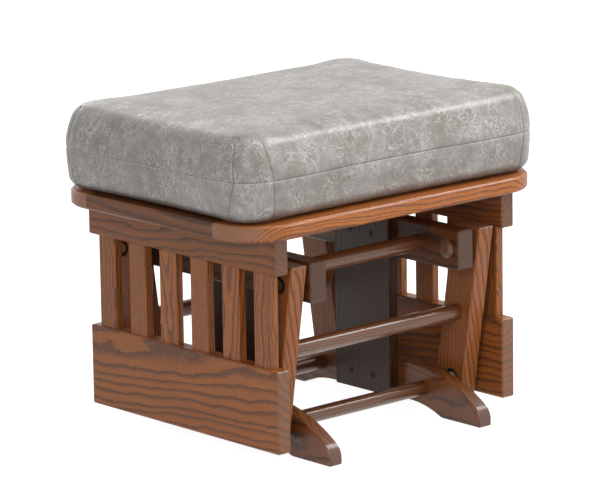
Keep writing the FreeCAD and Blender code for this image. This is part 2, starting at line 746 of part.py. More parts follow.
def lower_pivots():
    """Hexagon-headed bolts through the arms into threaded inserts in the skirts."""
    y = f"(-{LOWER_Y})"
    hole = grown("Sizes.bolt_diameter", "Sizes.glue_gap")
    bolt = new_body("lower_pivot_bolt")
    head = new_sketch(bolt, "YZ_Plane", "(-Sizes.hexagon_head_height)")
    hexagon(head, "Sizes.hexagon_flats")
    pad(bolt, head, "Sizes.hexagon_head_height")
    shank = new_sketch(bolt, "YZ_Plane")
    circle(shank, "0", "0", "Sizes.bolt_diameter")
    reach = f"({PANEL_INNER} + Sizes.insert_length - {LOWER_HEAD_END} - Sizes.bottom_gap)"
    pad(bolt, shank, reach)
    place(bolt, LOWER_HEAD_END, y, LOWER_Z)
    washer = tube(
        "lower_pivot_washer", LOWER_HEAD_END, LOWER_SLEEVE_START,
        "Sizes.head_washer_diameter", hole, y, LOWER_Z,
    )
    sleeve = tube(
        "lower_pivot_sleeve", LOWER_SLEEVE_START, PANEL_INNER,
        "Sizes.sleeve_diameter", hole, y, LOWER_Z,
    )
    insert = tube(
        "lower_pivot_insert", PANEL_INNER, f"({PANEL_INNER} + Sizes.insert_length)",
        "Sizes.insert_diameter", hole, y, LOWER_Z,
    )
    grouped("lower_pivot_bolts", at_four_corners([bolt]))
    grouped("lower_pivot_washers", at_four_corners([washer]))
    grouped("lower_pivot_sleeves", at_four_corners([sleeve]))
    grouped("lower_pivot_inserts", at_four_corners([insert]))


# Side panels


def mortises(body, offset, reverse):
    """A row of mortises for the slat tenons, one cut and repeated along Y."""
    sketch = new_sketch(body, "XY_Plane", offset)
    wide = grown("Sizes.tenon_thickness", "Sizes.glue_gap")
    long = grown("Sizes.tenon_width", "Sizes.glue_gap")
    centred_rectangle(sketch, wide, long, y=f"(-{FIRST_SLAT})")
    first = pocket(body, sketch, "(Sizes.tenon_length + Sizes.bottom_gap)", reverse)
    row_of = body.newObject("PartDesign::LinearPattern", "LinearPattern")
    row_of.Originals = [first]
    y_axis = [item for item in body.Origin.OriginFeatures if item.Role == "Y_Axis"][0]
    row_of.Direction = (y_axis, [""])
    row_of.setExpression("Length", f"(2 * {FIRST_SLAT})")
    row_of.setExpression("Occurrences", "Sizes.slat_count")
    body.Tip = row_of


def skirt(label, side):
    """The wide board at the foot of a side panel, which carries the lower pivots."""
    body = new_node(label)
    board(body, "Sizes.panel_thickness", "Sizes.panel_length", "Sizes.skirt_height")
    chamfer(body, "Sizes.panel_edge_chamfer", is_straight)
    mortises(body, "Sizes.skirt_height", False)
    inner_face = "(-Sizes.panel_thickness / 2)"
    pivots = [(f"{end} * {LOWER_Y}", f"({LOWER_Z} - Sizes.skirt_bottom)") for end in (-1, 1)]
    bore = grown("Sizes.insert_diameter", "Sizes.glue_gap")
    depth = "(Sizes.insert_length + Sizes.bottom_gap)"
    round_holes(body, "YZ_Plane", inner_face, pivots, bore, depth, True)
    place_on_side(body, side, PANEL_MIDDLE, "Sizes.skirt_bottom")


def panel_rail(label, side):
    """The rail at the top of a side panel, screwed up under the seat frame."""
    body = new_node(label)
    board(body, "Sizes.panel_thickness", "Sizes.panel_length", "Sizes.panel_rail_height")
    chamfer(body, "Sizes.panel_edge_chamfer", is_straight)
    mortises(body, "0", True)
    screws = [("0", f"{end} * {FRAME_SCREW_Y}") for end in (-1, 1)]
    pilot = grown("Sizes.screw_diameter", "Sizes.glue_gap")
    reach = "(Sizes.frame_screw_length - Sizes.frame_thickness + Sizes.bottom_gap)"
    round_holes(body, "XY_Plane", "Sizes.panel_rail_height", screws, pilot, reach, False)
    place_on_side(body, side, PANEL_MIDDLE, PANEL_RAIL_BOTTOM)


def slat(label, side, index):
    """An upright slat with a shouldered tenon at each end."""
    body = new_node(label)
    board(body, "Sizes.slat_thickness", "Sizes.slat_width", "Sizes.slat_clear_length")
    chamfer(body, "Sizes.slat_edge_chamfer", lambda edge: along(edge, Vector(0, 0, 1)))
    sketch = new_sketch(body, "XY_Plane", "(-Sizes.tenon_length)")
    centred_rectangle(sketch, "Sizes.tenon_thickness", "Sizes.tenon_width")
    pad(body, sketch, "(Sizes.slat_clear_length + 2 * Sizes.tenon_length)")
    place(body, f"{side} * {PANEL_MIDDLE}", f"({index} * {SLAT_PITCH} - {FIRST_SLAT})", SKIRT_TOP)


def side_panels():
    count = int(value("Sizes.slat_count"))
    for hand, side in (("left", -1), ("right", 1)):
        skirt(f"{hand}_skirt", side)
        panel_rail(f"{hand}_panel_rail", side)
        for index in range(count):
            slat(f"{hand}_slat_{index + 1}", side, index)


# Seat frame and deck


def end_board(label, end):
    """The front or rear board of the seat frame, with rounded outer corners."""
    body = new_node(label)
    half_x, half_y = value(HALF_FRAME_X), value(HALF_FRAME_Y)
    inner_y, radius = value(OPENING_Y), value("Sizes.frame_corner_radius")
    up = Vector(0, 0, 1)
    sketch = new_sketch(body, "XY_Plane")
    bend_x = half_x - radius
    bend_y = half_y - radius
    right_arc = Part.ArcOfCircle(Part.Circle(Vector(bend_x, -bend_y, 0), up, radius), -math.pi / 2, 0)
    left_arc = Part.ArcOfCircle(
        Part.Circle(Vector(-bend_x, -bend_y, 0), up, radius), math.pi, 1.5 * math.pi
    )
    pieces = [
        Part.LineSegment(Vector(-bend_x, -half_y, 0), Vector(bend_x, -half_y, 0)),
        right_arc,
        Part.LineSegment(Vector(half_x, -bend_y, 0), Vector(half_x, -inner_y, 0)),
        Part.LineSegment(Vector(half_x, -inner_y, 0), Vector(-half_x, -inner_y, 0)),
        Part.LineSegment(Vector(-half_x, -inner_y, 0), Vector(-half_x, -bend_y, 0)),
        left_arc,
    ]
    front, right_arc, right, inner, left, left_arc = (
        sketch.addGeometry(piece, False) for piece in pieces
    )
    start, finish = 1, 2
    sketch.addConstraint(Constraint("Tangent", front, finish, right_arc, start))
    sketch.addConstraint(Constraint("Tangent", right_arc, finish, right, start))
    sketch.addConstraint(Constraint("Coincident", right, finish, inner, start))
    sketch.addConstraint(Constraint("Coincident", inner, finish, left, start))
    sketch.addConstraint(Constraint("Tangent", left, finish, left_arc, start))
    sketch.addConstraint(Constraint("Tangent", left_arc, finish, front, start))
    sketch.addConstraint(Constraint("Horizontal", front))
    sketch.addConstraint(Constraint("Equal", right_arc, left_arc))
    hold_point(sketch, inner, start, HALF_FRAME_X, f"(-{OPENING_Y})")
    hold_point(sketch, inner, finish, f"(-{HALF_FRAME_X})", f"(-{OPENING_Y})")
    sketch.addConstraint(Constraint("Vertical", right))
    sketch.addConstraint(Constraint("Vertical", left))
    hold(sketch, "DistanceY", -1, 1, front, start, to=f"(-{HALF_FRAME_Y})")
    hold(sketch, "Radius", right_arc, to="Sizes.frame_corner_radius")
    pad(body, sketch, "Sizes.frame_thickness")

    def outside(edge):
        box = edge.BoundBox
        return near(box.ZMin, box.ZMax) and not near(box.YMin, -inner_y)

    chamfer(body, "Sizes.frame_edge_chamfer", outside)
    rebate = new_sketch(body, "XY_Plane", "Sizes.frame_thickness")
    reach_x = f"({OPENING_X} + Sizes.deck_rebate)"
    far_y, near_y = f"(-{OPENING_Y} - Sizes.deck_rebate)", f"(-{OPENING_Y} + Sizes.glue_gap)"
    rectangle(rebate, f"(-{reach_x})", reach_x, far_y, near_y)
    pocket(body, rebate, "Sizes.deck_thickness")
    dowel_holes(body, f"(-{OPENING_Y})", False)
    screws = [(f"{side} * {PANEL_MIDDLE}", f"(-{FRAME_SCREW_Y})") for side in (-1, 1)]
    countersunk_from_above(body, screws)
    if end > 0:
        body.Placement = FreeCAD.Placement(Vector(), FreeCAD.Rotation(up, 180))
    place(body, "0", "0", FRAME_BOTTOM)


def joint_dowel_places():
    spread = "(Sizes.joint_dowel_spread / 2)"
    return [f"({JOINT_DOWEL_X} + {step} * {spread})" for step in (-1, 1)]


def dowel_holes(body, face_y, reverse):
    """Blind holes for the hidden joint dowels in the inner edge of an end board."""
    sketch = new_sketch(body, "XZ_Plane", f"(-1 * {face_y})")
    bore = grown("Sizes.joint_dowel_diameter", "Sizes.glue_gap")
    for side in (-1, 1):
        for x in joint_dowel_places():
            circle(sketch, f"{side} * {x}", JOINT_DOWEL_LIFT, bore)
    pocket(body, sketch, "(Sizes.joint_dowel_reach + Sizes.bottom_gap)", not reverse)


def countersunk_from_above(body, screws):
    hole = grown("Sizes.screw_diameter", "Sizes.glue_gap")
    through = "Sizes.frame_thickness"
    round_holes(body, "XY_Plane", "Sizes.frame_thickness", screws, hole, through, False)
    top = value("Sizes.frame_thickness")
    radius = value(hole) / 2
    sink = "((Sizes.screw_head_diameter - Sizes.screw_diameter) / 2)"
    chamfer(body, sink, lambda edge: is_ring(edge, z=top, radius=radius))


def side_board(label, side):
    """A side board of the seat frame, fitted between the end boards."""
    body = new_node(label)
    board(body, SIDE_BOARD_WIDTH, f"(2 * {OPENING_Y})", "Sizes.frame_thickness")
    outer_x = value(f"{SIDE_BOARD_WIDTH} / 2")
    chamfer(
        body,
        "Sizes.frame_edge_chamfer",
        lambda edge: along(edge, Vector(0, 1, 0)) and near(edge.CenterOfMass.x, outer_x),
    )
    half = f"({SIDE_BOARD_WIDTH} / 2)"
    rebate = new_sketch(body, "XY_Plane", "Sizes.frame_thickness")
    high_x = f"(-{half} + Sizes.deck_rebate)"
    rectangle(rebate, f"(-{half})", high_x, f"(-{OPENING_Y})", OPENING_Y)
    pocket(body, rebate, "Sizes.deck_thickness")
    bore = grown("Sizes.joint_dowel_diameter", "Sizes.glue_gap")
    depth = "(Sizes.joint_dowel_reach + Sizes.bottom_gap)"
    centres = [(f"({x} - {JOINT_DOWEL_X})", JOINT_DOWEL_LIFT) for x in joint_dowel_places()]
    round_holes(body, "XZ_Plane", OPENING_Y, centres, bore, depth, False)
    round_holes(body, "XZ_Plane", f"(-{OPENING_Y})", centres, bore, depth, True)
    place_on_side(body, side, JOINT_DOWEL_X, FRAME_BOTTOM)


def seat_deck():
    """The thin board let into the rebate of the seat frame."""
    body = new_node("seat_deck")
    wide = f"(2 * ({OPENING_X} + Sizes.deck_rebate - Sizes.bottom_gap))"
    deep = f"(2 * ({OPENING_Y} + Sizes.deck_rebate - Sizes.bottom_gap))"
    board(body, wide, deep, "Sizes.deck_thickness")
    place(body, "0", "0", f"({FRAME_TOP} - Sizes.deck_thickness)")


def frame_joint_dowels():
    """Hidden dowels across the four butt joints of the seat frame."""
    members = []
    for number, x in enumerate(joint_dowel_places()):
        pin = new_body(f"frame_joint_dowel_{number}")
        sketch = new_sketch(pin, "XZ_Plane", "(-Sizes.joint_dowel_reach)")
        circle(sketch, "0", "0", "Sizes.joint_dowel_diameter")
        pad(pin, sketch, "(2 * Sizes.joint_dowel_reach)")
        place(pin, x, f"(-{OPENING_Y})", f"({FRAME_BOTTOM} + {JOINT_DOWEL_LIFT})")
        members.append(pin)
    grouped("frame_joint_dowels", at_four_corners(members))


# Cushion


def cushion_section(half_x, half_y, radius, draw_x, draw_y, height):
    """A level outline with round corners and sides that draw in between them, all tangent."""
    corner = Vector(half_x - radius, half_y - radius, height)
    side_radius = (corner.x**2 + (radius - draw_y) ** 2 - radius**2) / (2 * draw_y)
    end_radius = (corner.y**2 + (radius - draw_x) ** 2 - radius**2) / (2 * draw_x)
    side_middle = Vector(0, half_y - draw_y, height)
    end_middle = Vector(half_x - draw_x, 0, height)
    side_centre = side_middle + Vector(0, side_radius, 0)
    end_centre = end_middle + Vector(end_radius, 0, 0)
    meet_side = corner + (side_centre - corner).normalize() * radius
    meet_end = corner + (end_centre - corner).normalize() * radius
    tip = corner + (meet_side + meet_end - corner * 2).normalize() * radius

    def turned(point, x_sign, y_sign):
        return Vector(point.x * x_sign, point.y * y_sign, point.z)

    edges = []
    quarters = [(1, 1), (-1, 1), (-1, -1), (1, -1)]
    for number, (x_sign, y_sign) in enumerate(quarters):
        ends = [turned(meet_end, x_sign, y_sign), turned(meet_side, x_sign, y_sign)]
        along_y = x_sign * y_sign < 0
        if along_y:
            ends.reverse()
        edges.append(Part.Arc(ends[0], turned(tip, x_sign, y_sign), ends[1]).toShape())
        next_x, next_y = quarters[(number + 1) % len(quarters)]
        middle = end_middle if along_y else side_middle
        target = meet_end if along_y else meet_side
        through = turned(middle, x_sign, y_sign)
        edges.append(Part.Arc(ends[1], through, turned(target, next_x, next_y)).toShape())
    return Part.Wire(edges)


def cushion_rings():
    """Pairs of inset and height up the cushion: lower edge, seam, upper edge and crown."""
    lower = value("Sizes.cushion_lower_radius")
    swell = value("Sizes.cushion_side_swell")
    seam = value("Sizes.cushion_seam_height")
    lean = value("Sizes.cushion_upper_lean")
    upper = value("Sizes.cushion_upper_radius")
    edge = value("Sizes.cushion_edge_height")
    crown = value("Sizes.cushion_crown")
    reach = value("Sizes.cushion_crown_reach")
    lower_steps, upper_steps, crown_steps = 3, 3, 2
    rings = []
    for step in range(lower_steps + 1):
        angle = math.pi / 2 * step / lower_steps
        rings.append((swell + lower * (1 - math.sin(angle)), lower * (1 - math.cos(angle))))
    rings.append((0, seam))
    for step in range(upper_steps + 1):
        angle = math.pi / 2 * step / upper_steps
        inset = lean + upper * (1 - math.cos(angle))
        rings.append((inset, edge - upper * (1 - math.sin(angle))))
    for step in range(1, crown_steps + 1):
        share = step / crown_steps
        rings.append((lean + upper + reach * share, edge + crown * share * (2 - share)))
    return rings


def cushion():
    """The padded cushion that lies loose on the seat frame."""
    half_x = value(f"{HALF_FRAME_X} + Sizes.cushion_side_overhang")
    half_y = value(f"{HALF_FRAME_Y} - Sizes.cushion_end_inset")
    corner = value("Sizes.cushion_corner_radius")
    cap_corner = value("Sizes.cushion_cap_corner_radius")
    draw = value("Sizes.cushion_draw_in")
    rings = cushion_rings()
    deepest = rings[-1][0]
    sections = []
    for inset, height in rings:
        radius = corner + (cap_corner - corner) * inset / deepest
        x, y = half_x - inset, half_y - inset
        sections.append(cushion_section(x, y, radius, draw * y / half_y, draw * x / half_x, height))
    body = doc.addObject("Part::Feature", "cushion")
    body.Label = "cushion"
    body.Shape = Part.makeLoft(sections, True, True)
    bottom = value(f"{FRAME_TOP} + Sizes.rest_gap")
    body.Placement = FreeCAD.Placement(Vector(0, 0, bottom), FreeCAD.Rotation())
    nodes.append(body)


def build():
    for hand, side in (("left", -1), ("right", 1)):
        foot(f"{hand}_foot", side)
        base_rail(f"{hand}_base_rail", side)
        post(f"{hand}_post", side)
    base_dowels()
    post_screws()
    arm_pair("front", -1, grown("Sizes.sleeve_diameter", "Sizes.running_gap"))
    arm_pair("rear", 1, "Sizes.free_bearing_bore")
    upper_pivots()
    lower_pivots()
    side_panels()
    end_board("front_frame_board", -1)
    end_board("rear_frame_board", 1)
    side_board("left_frame_board", -1)
    side_board("right_frame_board", 1)
    seat_deck()
    frame_joint_dowels()
    frame_screws()
    cushion()


def check():
    """Stops if any object failed, a sketch is loose or a node has no sound solid."""
    problems = []
    for item in doc.Objects:
        if "Invalid" in item.State or "Error" in item.State:
            problems.append(f"{item.Label}: {item.State}")
        if item.TypeId == "Sketcher::SketchObject" and not item.FullyConstrained:
            problems.append(f"{item.Label}: not fully constrained")
    for node in nodes:
        if node.Shape.isNull() or not node.Shape.isValid() or not node.Shape.Solids:
            problems.append(f"{node.Label}: no sound solid")
    if problems:
        raise RuntimeError("; ".join(problems))


def write():
    os.makedirs("parts", exist_ok=True)
    for node in nodes:
        node.Shape.exportStep(f"parts/{node.Label}.step")


build()
doc.recompute()
check()
write()
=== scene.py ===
import math
from typing import NamedTuple

import bmesh
import bpy
import numpy as np
from mathutils import Matrix, Vector, noise
from mathutils.kdtree import KDTree


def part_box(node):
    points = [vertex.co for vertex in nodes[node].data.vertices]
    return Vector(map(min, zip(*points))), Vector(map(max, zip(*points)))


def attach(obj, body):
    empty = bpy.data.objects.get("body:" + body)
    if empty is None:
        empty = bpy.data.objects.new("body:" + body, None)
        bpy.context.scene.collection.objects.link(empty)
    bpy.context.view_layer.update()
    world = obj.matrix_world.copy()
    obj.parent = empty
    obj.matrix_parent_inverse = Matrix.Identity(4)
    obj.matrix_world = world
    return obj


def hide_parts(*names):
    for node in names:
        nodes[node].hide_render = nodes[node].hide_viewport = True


# Glider ottoman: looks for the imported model. Lengths are in metres, in the row's frame.

MM = 0.001
MM_PER_METRE = 1000

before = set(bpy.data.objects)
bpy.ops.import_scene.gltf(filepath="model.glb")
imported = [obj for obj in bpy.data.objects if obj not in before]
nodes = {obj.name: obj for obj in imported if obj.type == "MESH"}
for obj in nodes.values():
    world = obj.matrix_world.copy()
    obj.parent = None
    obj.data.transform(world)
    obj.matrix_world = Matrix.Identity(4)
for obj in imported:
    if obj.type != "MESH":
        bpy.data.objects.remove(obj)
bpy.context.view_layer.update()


# Camera, floor and light

CAMERA_PLACE = Vector((-3.7108, -4.1684, 1.5024))
CAMERA_YAW = 0.727
CAMERA_PITCH = -0.221
CAMERA_ROLL = -0.016
CAMERA_LENS = 237.7
SENSOR_WIDTH = 36.0
FARTHEST_SEEN = 50


def make_camera():
    """The camera that was fitted to the photograph."""
    sin_yaw, cos_yaw = math.sin(CAMERA_YAW), math.cos(CAMERA_YAW)
    level = math.cos(CAMERA_PITCH)
    forward = Vector((sin_yaw * level, cos_yaw * level, math.sin(CAMERA_PITCH)))
    flat_right = Vector((cos_yaw, -sin_yaw, 0))
    flat_up = flat_right.cross(forward)
    right = math.cos(CAMERA_ROLL) * flat_right + math.sin(CAMERA_ROLL) * flat_up
    up = math.cos(CAMERA_ROLL) * flat_up - math.sin(CAMERA_ROLL) * flat_right
    data = bpy.data.cameras.new("camera")
    data.lens = CAMERA_LENS
    data.sensor_width = SENSOR_WIDTH
    data.sensor_fit = "HORIZONTAL"
    data.clip_end = FARTHEST_SEEN
    camera = bpy.data.objects.new("camera", data)
    bpy.context.collection.objects.link(camera)
    turn = Matrix((right, up, -forward)).transposed().to_4x4()
    camera.matrix_world = Matrix.Translation(CAMERA_PLACE) @ turn
    bpy.context.scene.camera = camera


class Tree:
    """A node tree with short calls for adding nodes and joining them."""

    def __init__(self, owner):
        owner.use_nodes = True
        self.tree = owner.node_tree
        self.tree.nodes.clear()

    def add(self, kind, **settings):
        node = self.tree.nodes.new(kind)
        for name, setting in settings.items():
            setattr(node, name, setting)
        return node

    def join(self, source, target):
        self.tree.links.new(source, target)

    def put(self, socket, source):
        """Sets a socket to a number, colour or vector, or joins another node's output to it."""
        if isinstance(source, bpy.types.NodeSocket):
            self.join(source, socket)
        else:
            socket.default_value = source

    def math(self, operation, *sources, clamp=False):
        node = self.add("ShaderNodeMath", operation=operation, use_clamp=clamp)
        for socket, source in zip(node.inputs, sources):
            self.put(socket, source)
        return node.outputs[0]

    def vector(self, operation, *sources):
        node = self.add("ShaderNodeVectorMath", operation=operation)
        for socket, source in zip(node.inputs, sources):
            self.put(socket, source)
        return node.outputs["Value" if operation == "DOT_PRODUCT" else "Vector"]

    def split(self, source):
        """The three numbers of a vector."""
        node = self.add("ShaderNodeSeparateXYZ")
        self.join(source, node.inputs[0])
        return tuple(node.outputs)

    def noise(self, place, scale, detail, roughness, distortion=0.0):
        node = self.add("ShaderNodeTexNoise")
        self.put(node.inputs["Vector"], place)
        node.inputs["Scale"].default_value = scale
        node.inputs["Detail"].default_value = detail
        node.inputs["Roughness"].default_value = roughness
        node.inputs["Distortion"].default_value = distortion
        return node.outputs["Fac"]

    def ramp(self, source, stops):
        """A number through a ramp, with stops of place and grey level."""
        node = self.add("ShaderNodeValToRGB")
        ramp = node.color_ramp
        while len(ramp.elements) < len(stops):
            ramp.elements.new(0.5)
        for element, (place, grey) in zip(ramp.elements, stops):
            element.position = place
            element.color = (grey, grey, grey, 1)
        self.put(node.inputs["Fac"], source)
        return node.outputs["Color"]

    def mix(self, factor, first, second):
        """Two colours mixed, as a number from 0 to 1 says."""
        node = self.add("ShaderNodeMix", data_type="RGBA")
        for index, source in ((0, factor), (6, first), (7, second)):
            if isinstance(source, tuple):
                source = (*source, 1)
            self.put(node.inputs[index], source)
        return node.outputs[2]

    def bump(self, height, strength, distance):
        node = self.add("ShaderNodeBump")
        node.inputs["Strength"].default_value = strength
        node.inputs["Distance"].default_value = distance
        self.put(node.inputs["Height"], height)
        return node.outputs["Normal"]

    def surface(self, **settings):
        """The surface shader, with each named socket set or joined."""
        shader = self.add("ShaderNodeBsdfPrincipled")
        for name, setting in settings.items():
            self.put(shader.inputs[name.replace("_", " ")], setting)
        output = self.add("ShaderNodeOutputMaterial")
        self.join(shader.outputs[0], output.inputs["Surface"])


def linear(red, green, blue):
    """A screen's colour, from 0 to 255, in a shader's linear numbers, by the sRGB formula."""
    def one(level):
        level /= 255
        return level / 12.92 if level <= 0.04045 else ((level + 0.055) / 1.055) ** 2.4
    return one(red), one(green), one(blue)


def scaled(colour, factor):
    return tuple(level * factor for level in colour)


def seen_directly(tree):
    """1 for the rays that show a background: the camera's, and those in metal and glass."""
    paths = tree.add("ShaderNodeLightPath")
    seen = tree.math("MAXIMUM", paths.outputs["Is Camera Ray"], paths.outputs["Is Glossy Ray"])
    return tree.math("MAXIMUM", seen, paths.outputs["Is Transmission Ray"])


FLOOR_REACH = 12.0
FLOOR_DROP = 0.2 * MM
FLOOR_GREY = (0.5, 0.5, 0.5, 1)
FLOOR_GLOW = 0.93
WHITE = (1, 1, 1, 1)
SOFT_LIGHT = 0.38
WHITE_LIGHT = 1.0
LAMP_AIM = Vector((0, 0, 0.25))
# Place, size and power of each soft box
LAMPS = {
    "overhead_lamp": ((0.2, -0.5, 2.6), 1.6, 15),
    "edge_lamp": ((1.8, -0.9, 2.1), 0.8, 30),
    "right_lamp": ((1.0, -2.7, 1.1), 1.4, 17),
    "left_lamp": ((-2.2, -1.8, 1.2), 1.4, 22),
    "rear_lamp": ((0.7, 2.7, 1.4), 1.6, 14),
}


def make_floor():
    """A pale floor that is white to the camera but keeps the object's shadow."""
    mesh = bpy.data.meshes.new("floor")
    corners = [(-1, -1), (1, -1), (1, 1), (-1, 1)]
    points = [(x * FLOOR_REACH, y * FLOOR_REACH, -FLOOR_DROP) for x, y in corners]
    mesh.from_pydata(points, [], [(0, 1, 2, 3)])
    floor = bpy.data.objects.new("floor", mesh)
    bpy.context.collection.objects.link(floor)
    material = bpy.data.materials.new("pale_floor")
    tree = Tree(material)
    pale = tree.add("ShaderNodeBsdfDiffuse")
    pale.inputs["Color"].default_value = FLOOR_GREY
    glow = tree.add("ShaderNodeEmission")
    glow.inputs["Strength"].default_value = FLOOR_GLOW
    both = tree.add("ShaderNodeAddShader")
    tree.join(pale.outputs[0], both.inputs[0])
    tree.join(glow.outputs[0], both.inputs[1])
    choice = tree.add("ShaderNodeMixShader")
    tree.join(seen_directly(tree), choice.inputs[0])
    tree.join(pale.outputs[0], choice.inputs[1])
    tree.join(both.outputs[0], choice.inputs[2])
    output = tree.add("ShaderNodeOutputMaterial")
    tree.join(choice.outputs[0], output.inputs["Surface"])
    mesh.materials.append(material)


def make_world():
    """Soft light from all round, in front of a white background."""
    world = bpy.data.worlds.new("studio")
    bpy.context.scene.world = world
    tree = Tree(world)
    choice = tree.add("ShaderNodeMixShader")
    tree.join(seen_directly(tree), choice.inputs[0])
    for index, strength in ((1, SOFT_LIGHT), (2, WHITE_LIGHT)):
        background = tree.add("ShaderNodeBackground")
        background.inputs["Color"].default_value = WHITE
        background.inputs["Strength"].default_value = strength
        tree.join(background.outputs[0], choice.inputs[index])
    output = tree.add("ShaderNodeOutputWorld")
    tree.join(choice.outputs[0], output.inputs["Surface"])


def make_lamps():
    """Square soft boxes that face the object."""
    for name, (place, size, power) in LAMPS.items():
        data = bpy.data.lights.new(name, "AREA")
        data.shape = "SQUARE"
        data.size = size
        data.energy = power
        lamp = bpy.data.objects.new(name, data)
        bpy.context.collection.objects.link(lamp)
        lamp.location = place
        aim = LAMP_AIM - Vector(place)
        lamp.rotation_euler = aim.to_track_quat("-Z", "Y").to_euler()


# Wood

LIGHT_OAK = linear(180, 108, 48)
MIDDLE_OAK = linear(146, 82, 36)
DARK_OAK = linear(80, 51, 38)
PORE_OAK = linear(46, 26, 19)
# End grain's grey-brown: partly its own tone, partly a painted sheen of the lacquer
END_GRAIN_SHEEN_OAK = linear(116, 90, 76)
ALONG_X, ALONG_Y, ALONG_Z = Vector((1, 0, 0)), Vector((0, 1, 0)), Vector((0, 0, 1))


class Figure(NamedTuple):
    """How a board was sawn from its tree, how it was stained, and for some pieces how much
    painted shade darkens it.
    """

    along: Vector  # along the grain
    across: Vector  # across the face
    pith: tuple  # place of the tree's middle, across the face and into the board, in mm
    tilt: tuple  # how far the pith moves in each of these for each mm along
    spacing: float  # from ring to ring, in mm
    tone: float  # brightness of the stain, and for the post and the base rails also painted shade
    waviness: float = 1.0
    gloss: float = 0.1


class Stretched(NamedTuple):
    """A noise stretched along the grain: its scales per mm, its shift, detail and roughness."""

    along: float
    across: float
    shift: float
    detail: float
    roughness: float


SLOW_SWAY = Stretched(0.006, 0.012, 0.0, 2.0, 0.5)
SMALL_SWAY = Stretched(0.03, 0.05, 7.0, 2.0, 0.6)
FRAY = Stretched(0.05, 1.1, 27.0, 2.0, 0.6)
PORES = Stretched(0.11, 2.1, 3.0, 2.0, 0.6)
FIBRES = Stretched(0.022, 0.9, 11.0, 4.0, 0.65)
PATCHES = Stretched(0.008, 0.03, 19.0, 2.0, 0.5)
# How far each noise moves a ring, in mm, and how far rings differ in width, in rings
SLOW_REACH, SMALL_REACH, FRAY_REACH = 26.0, 5.0, 1.1
UNEVEN_RATE, UNEVEN_REACH = 0.37, 1.4
# Ramps: darkness across one ring, and what counts as a pore, a fibre and end grain
RING_STOPS = (
    (0.0, 0.1), (0.05, 0.95), (0.16, 1.0), (0.34, 0.45), (0.5, 0.08), (0.8, 0.0), (1.0, 0.1),
)
PORE_STOPS = ((0.50, 0.0), (0.60, 1.0))
FIBRE_STOPS = ((0.3, 0.0), (0.7, 1.0))
END_STOPS = ((0.3, 0.0), (0.8, 1.0))
# Strength of each layer of colour
PORES_BETWEEN_BANDS = 0.25
FIBRE_SHARE, BAND_SHARE, PORE_SHARE, END_SHEEN_SHARE = 0.45, 0.72, 0.8, 0.6
# Relief and roughness
FIBRE_RELIEF, BAND_RELIEF, PORE_RELIEF = 0.15, -0.3, -1.0
WOOD_BUMP, WOOD_RELIEF = 0.5, 0.15 * MM
WOOD_ROUGH, PORE_ROUGH, FIBRE_ROUGH = 0.36, 0.18, 0.10
WOOD_SPECULAR, WOOD_COAT_ROUGH = 0.3, 0.2


def ring_place(tree, figure, axes, stretched, seed):
    """Place within the growth ring, from 0 to 1, at each point of a board."""
    along, across, through = axes
    wave = figure.waviness
    slow, small, fray = (stretched(kind) for kind in (SLOW_SWAY, SMALL_SWAY, FRAY))
    sway = tree.math("MULTIPLY_ADD", slow, SLOW_REACH * wave, -SLOW_REACH / 2 * wave)
    sway = tree.math("MULTIPLY_ADD", small, SMALL_REACH * wave, sway)
    squares = None
    for axis, pith, tilt in zip((across, through), figure.pith, figure.tilt):
        distance = tree.math("MULTIPLY_ADD", along, tilt, axis)
        distance = tree.math("SUBTRACT", distance, pith)
        if squares is None:
            squares = tree.math("MULTIPLY", distance, distance)
        else:
            squares = tree.math("MULTIPLY_ADD", distance, distance, squares)
    radius = tree.math("ADD", tree.math("SQRT", squares), sway)
    turns = tree.math("DIVIDE", radius, figure.spacing)
    uneven = tree.add("ShaderNodeTexNoise", noise_dimensions="1D")
    tree.put(uneven.inputs["W"], tree.math("MULTIPLY_ADD", turns, UNEVEN_RATE, seed))
    uneven.inputs["Scale"].default_value = 1.0
    turns = tree.math("MULTIPLY_ADD", uneven.outputs["Fac"], UNEVEN_REACH, turns)
    fray = tree.math("SUBTRACT", fray, 0.5)
    turns = tree.math("MULTIPLY_ADD", fray, FRAY_REACH / figure.spacing, turns)
    return tree.math("FRACT", turns)


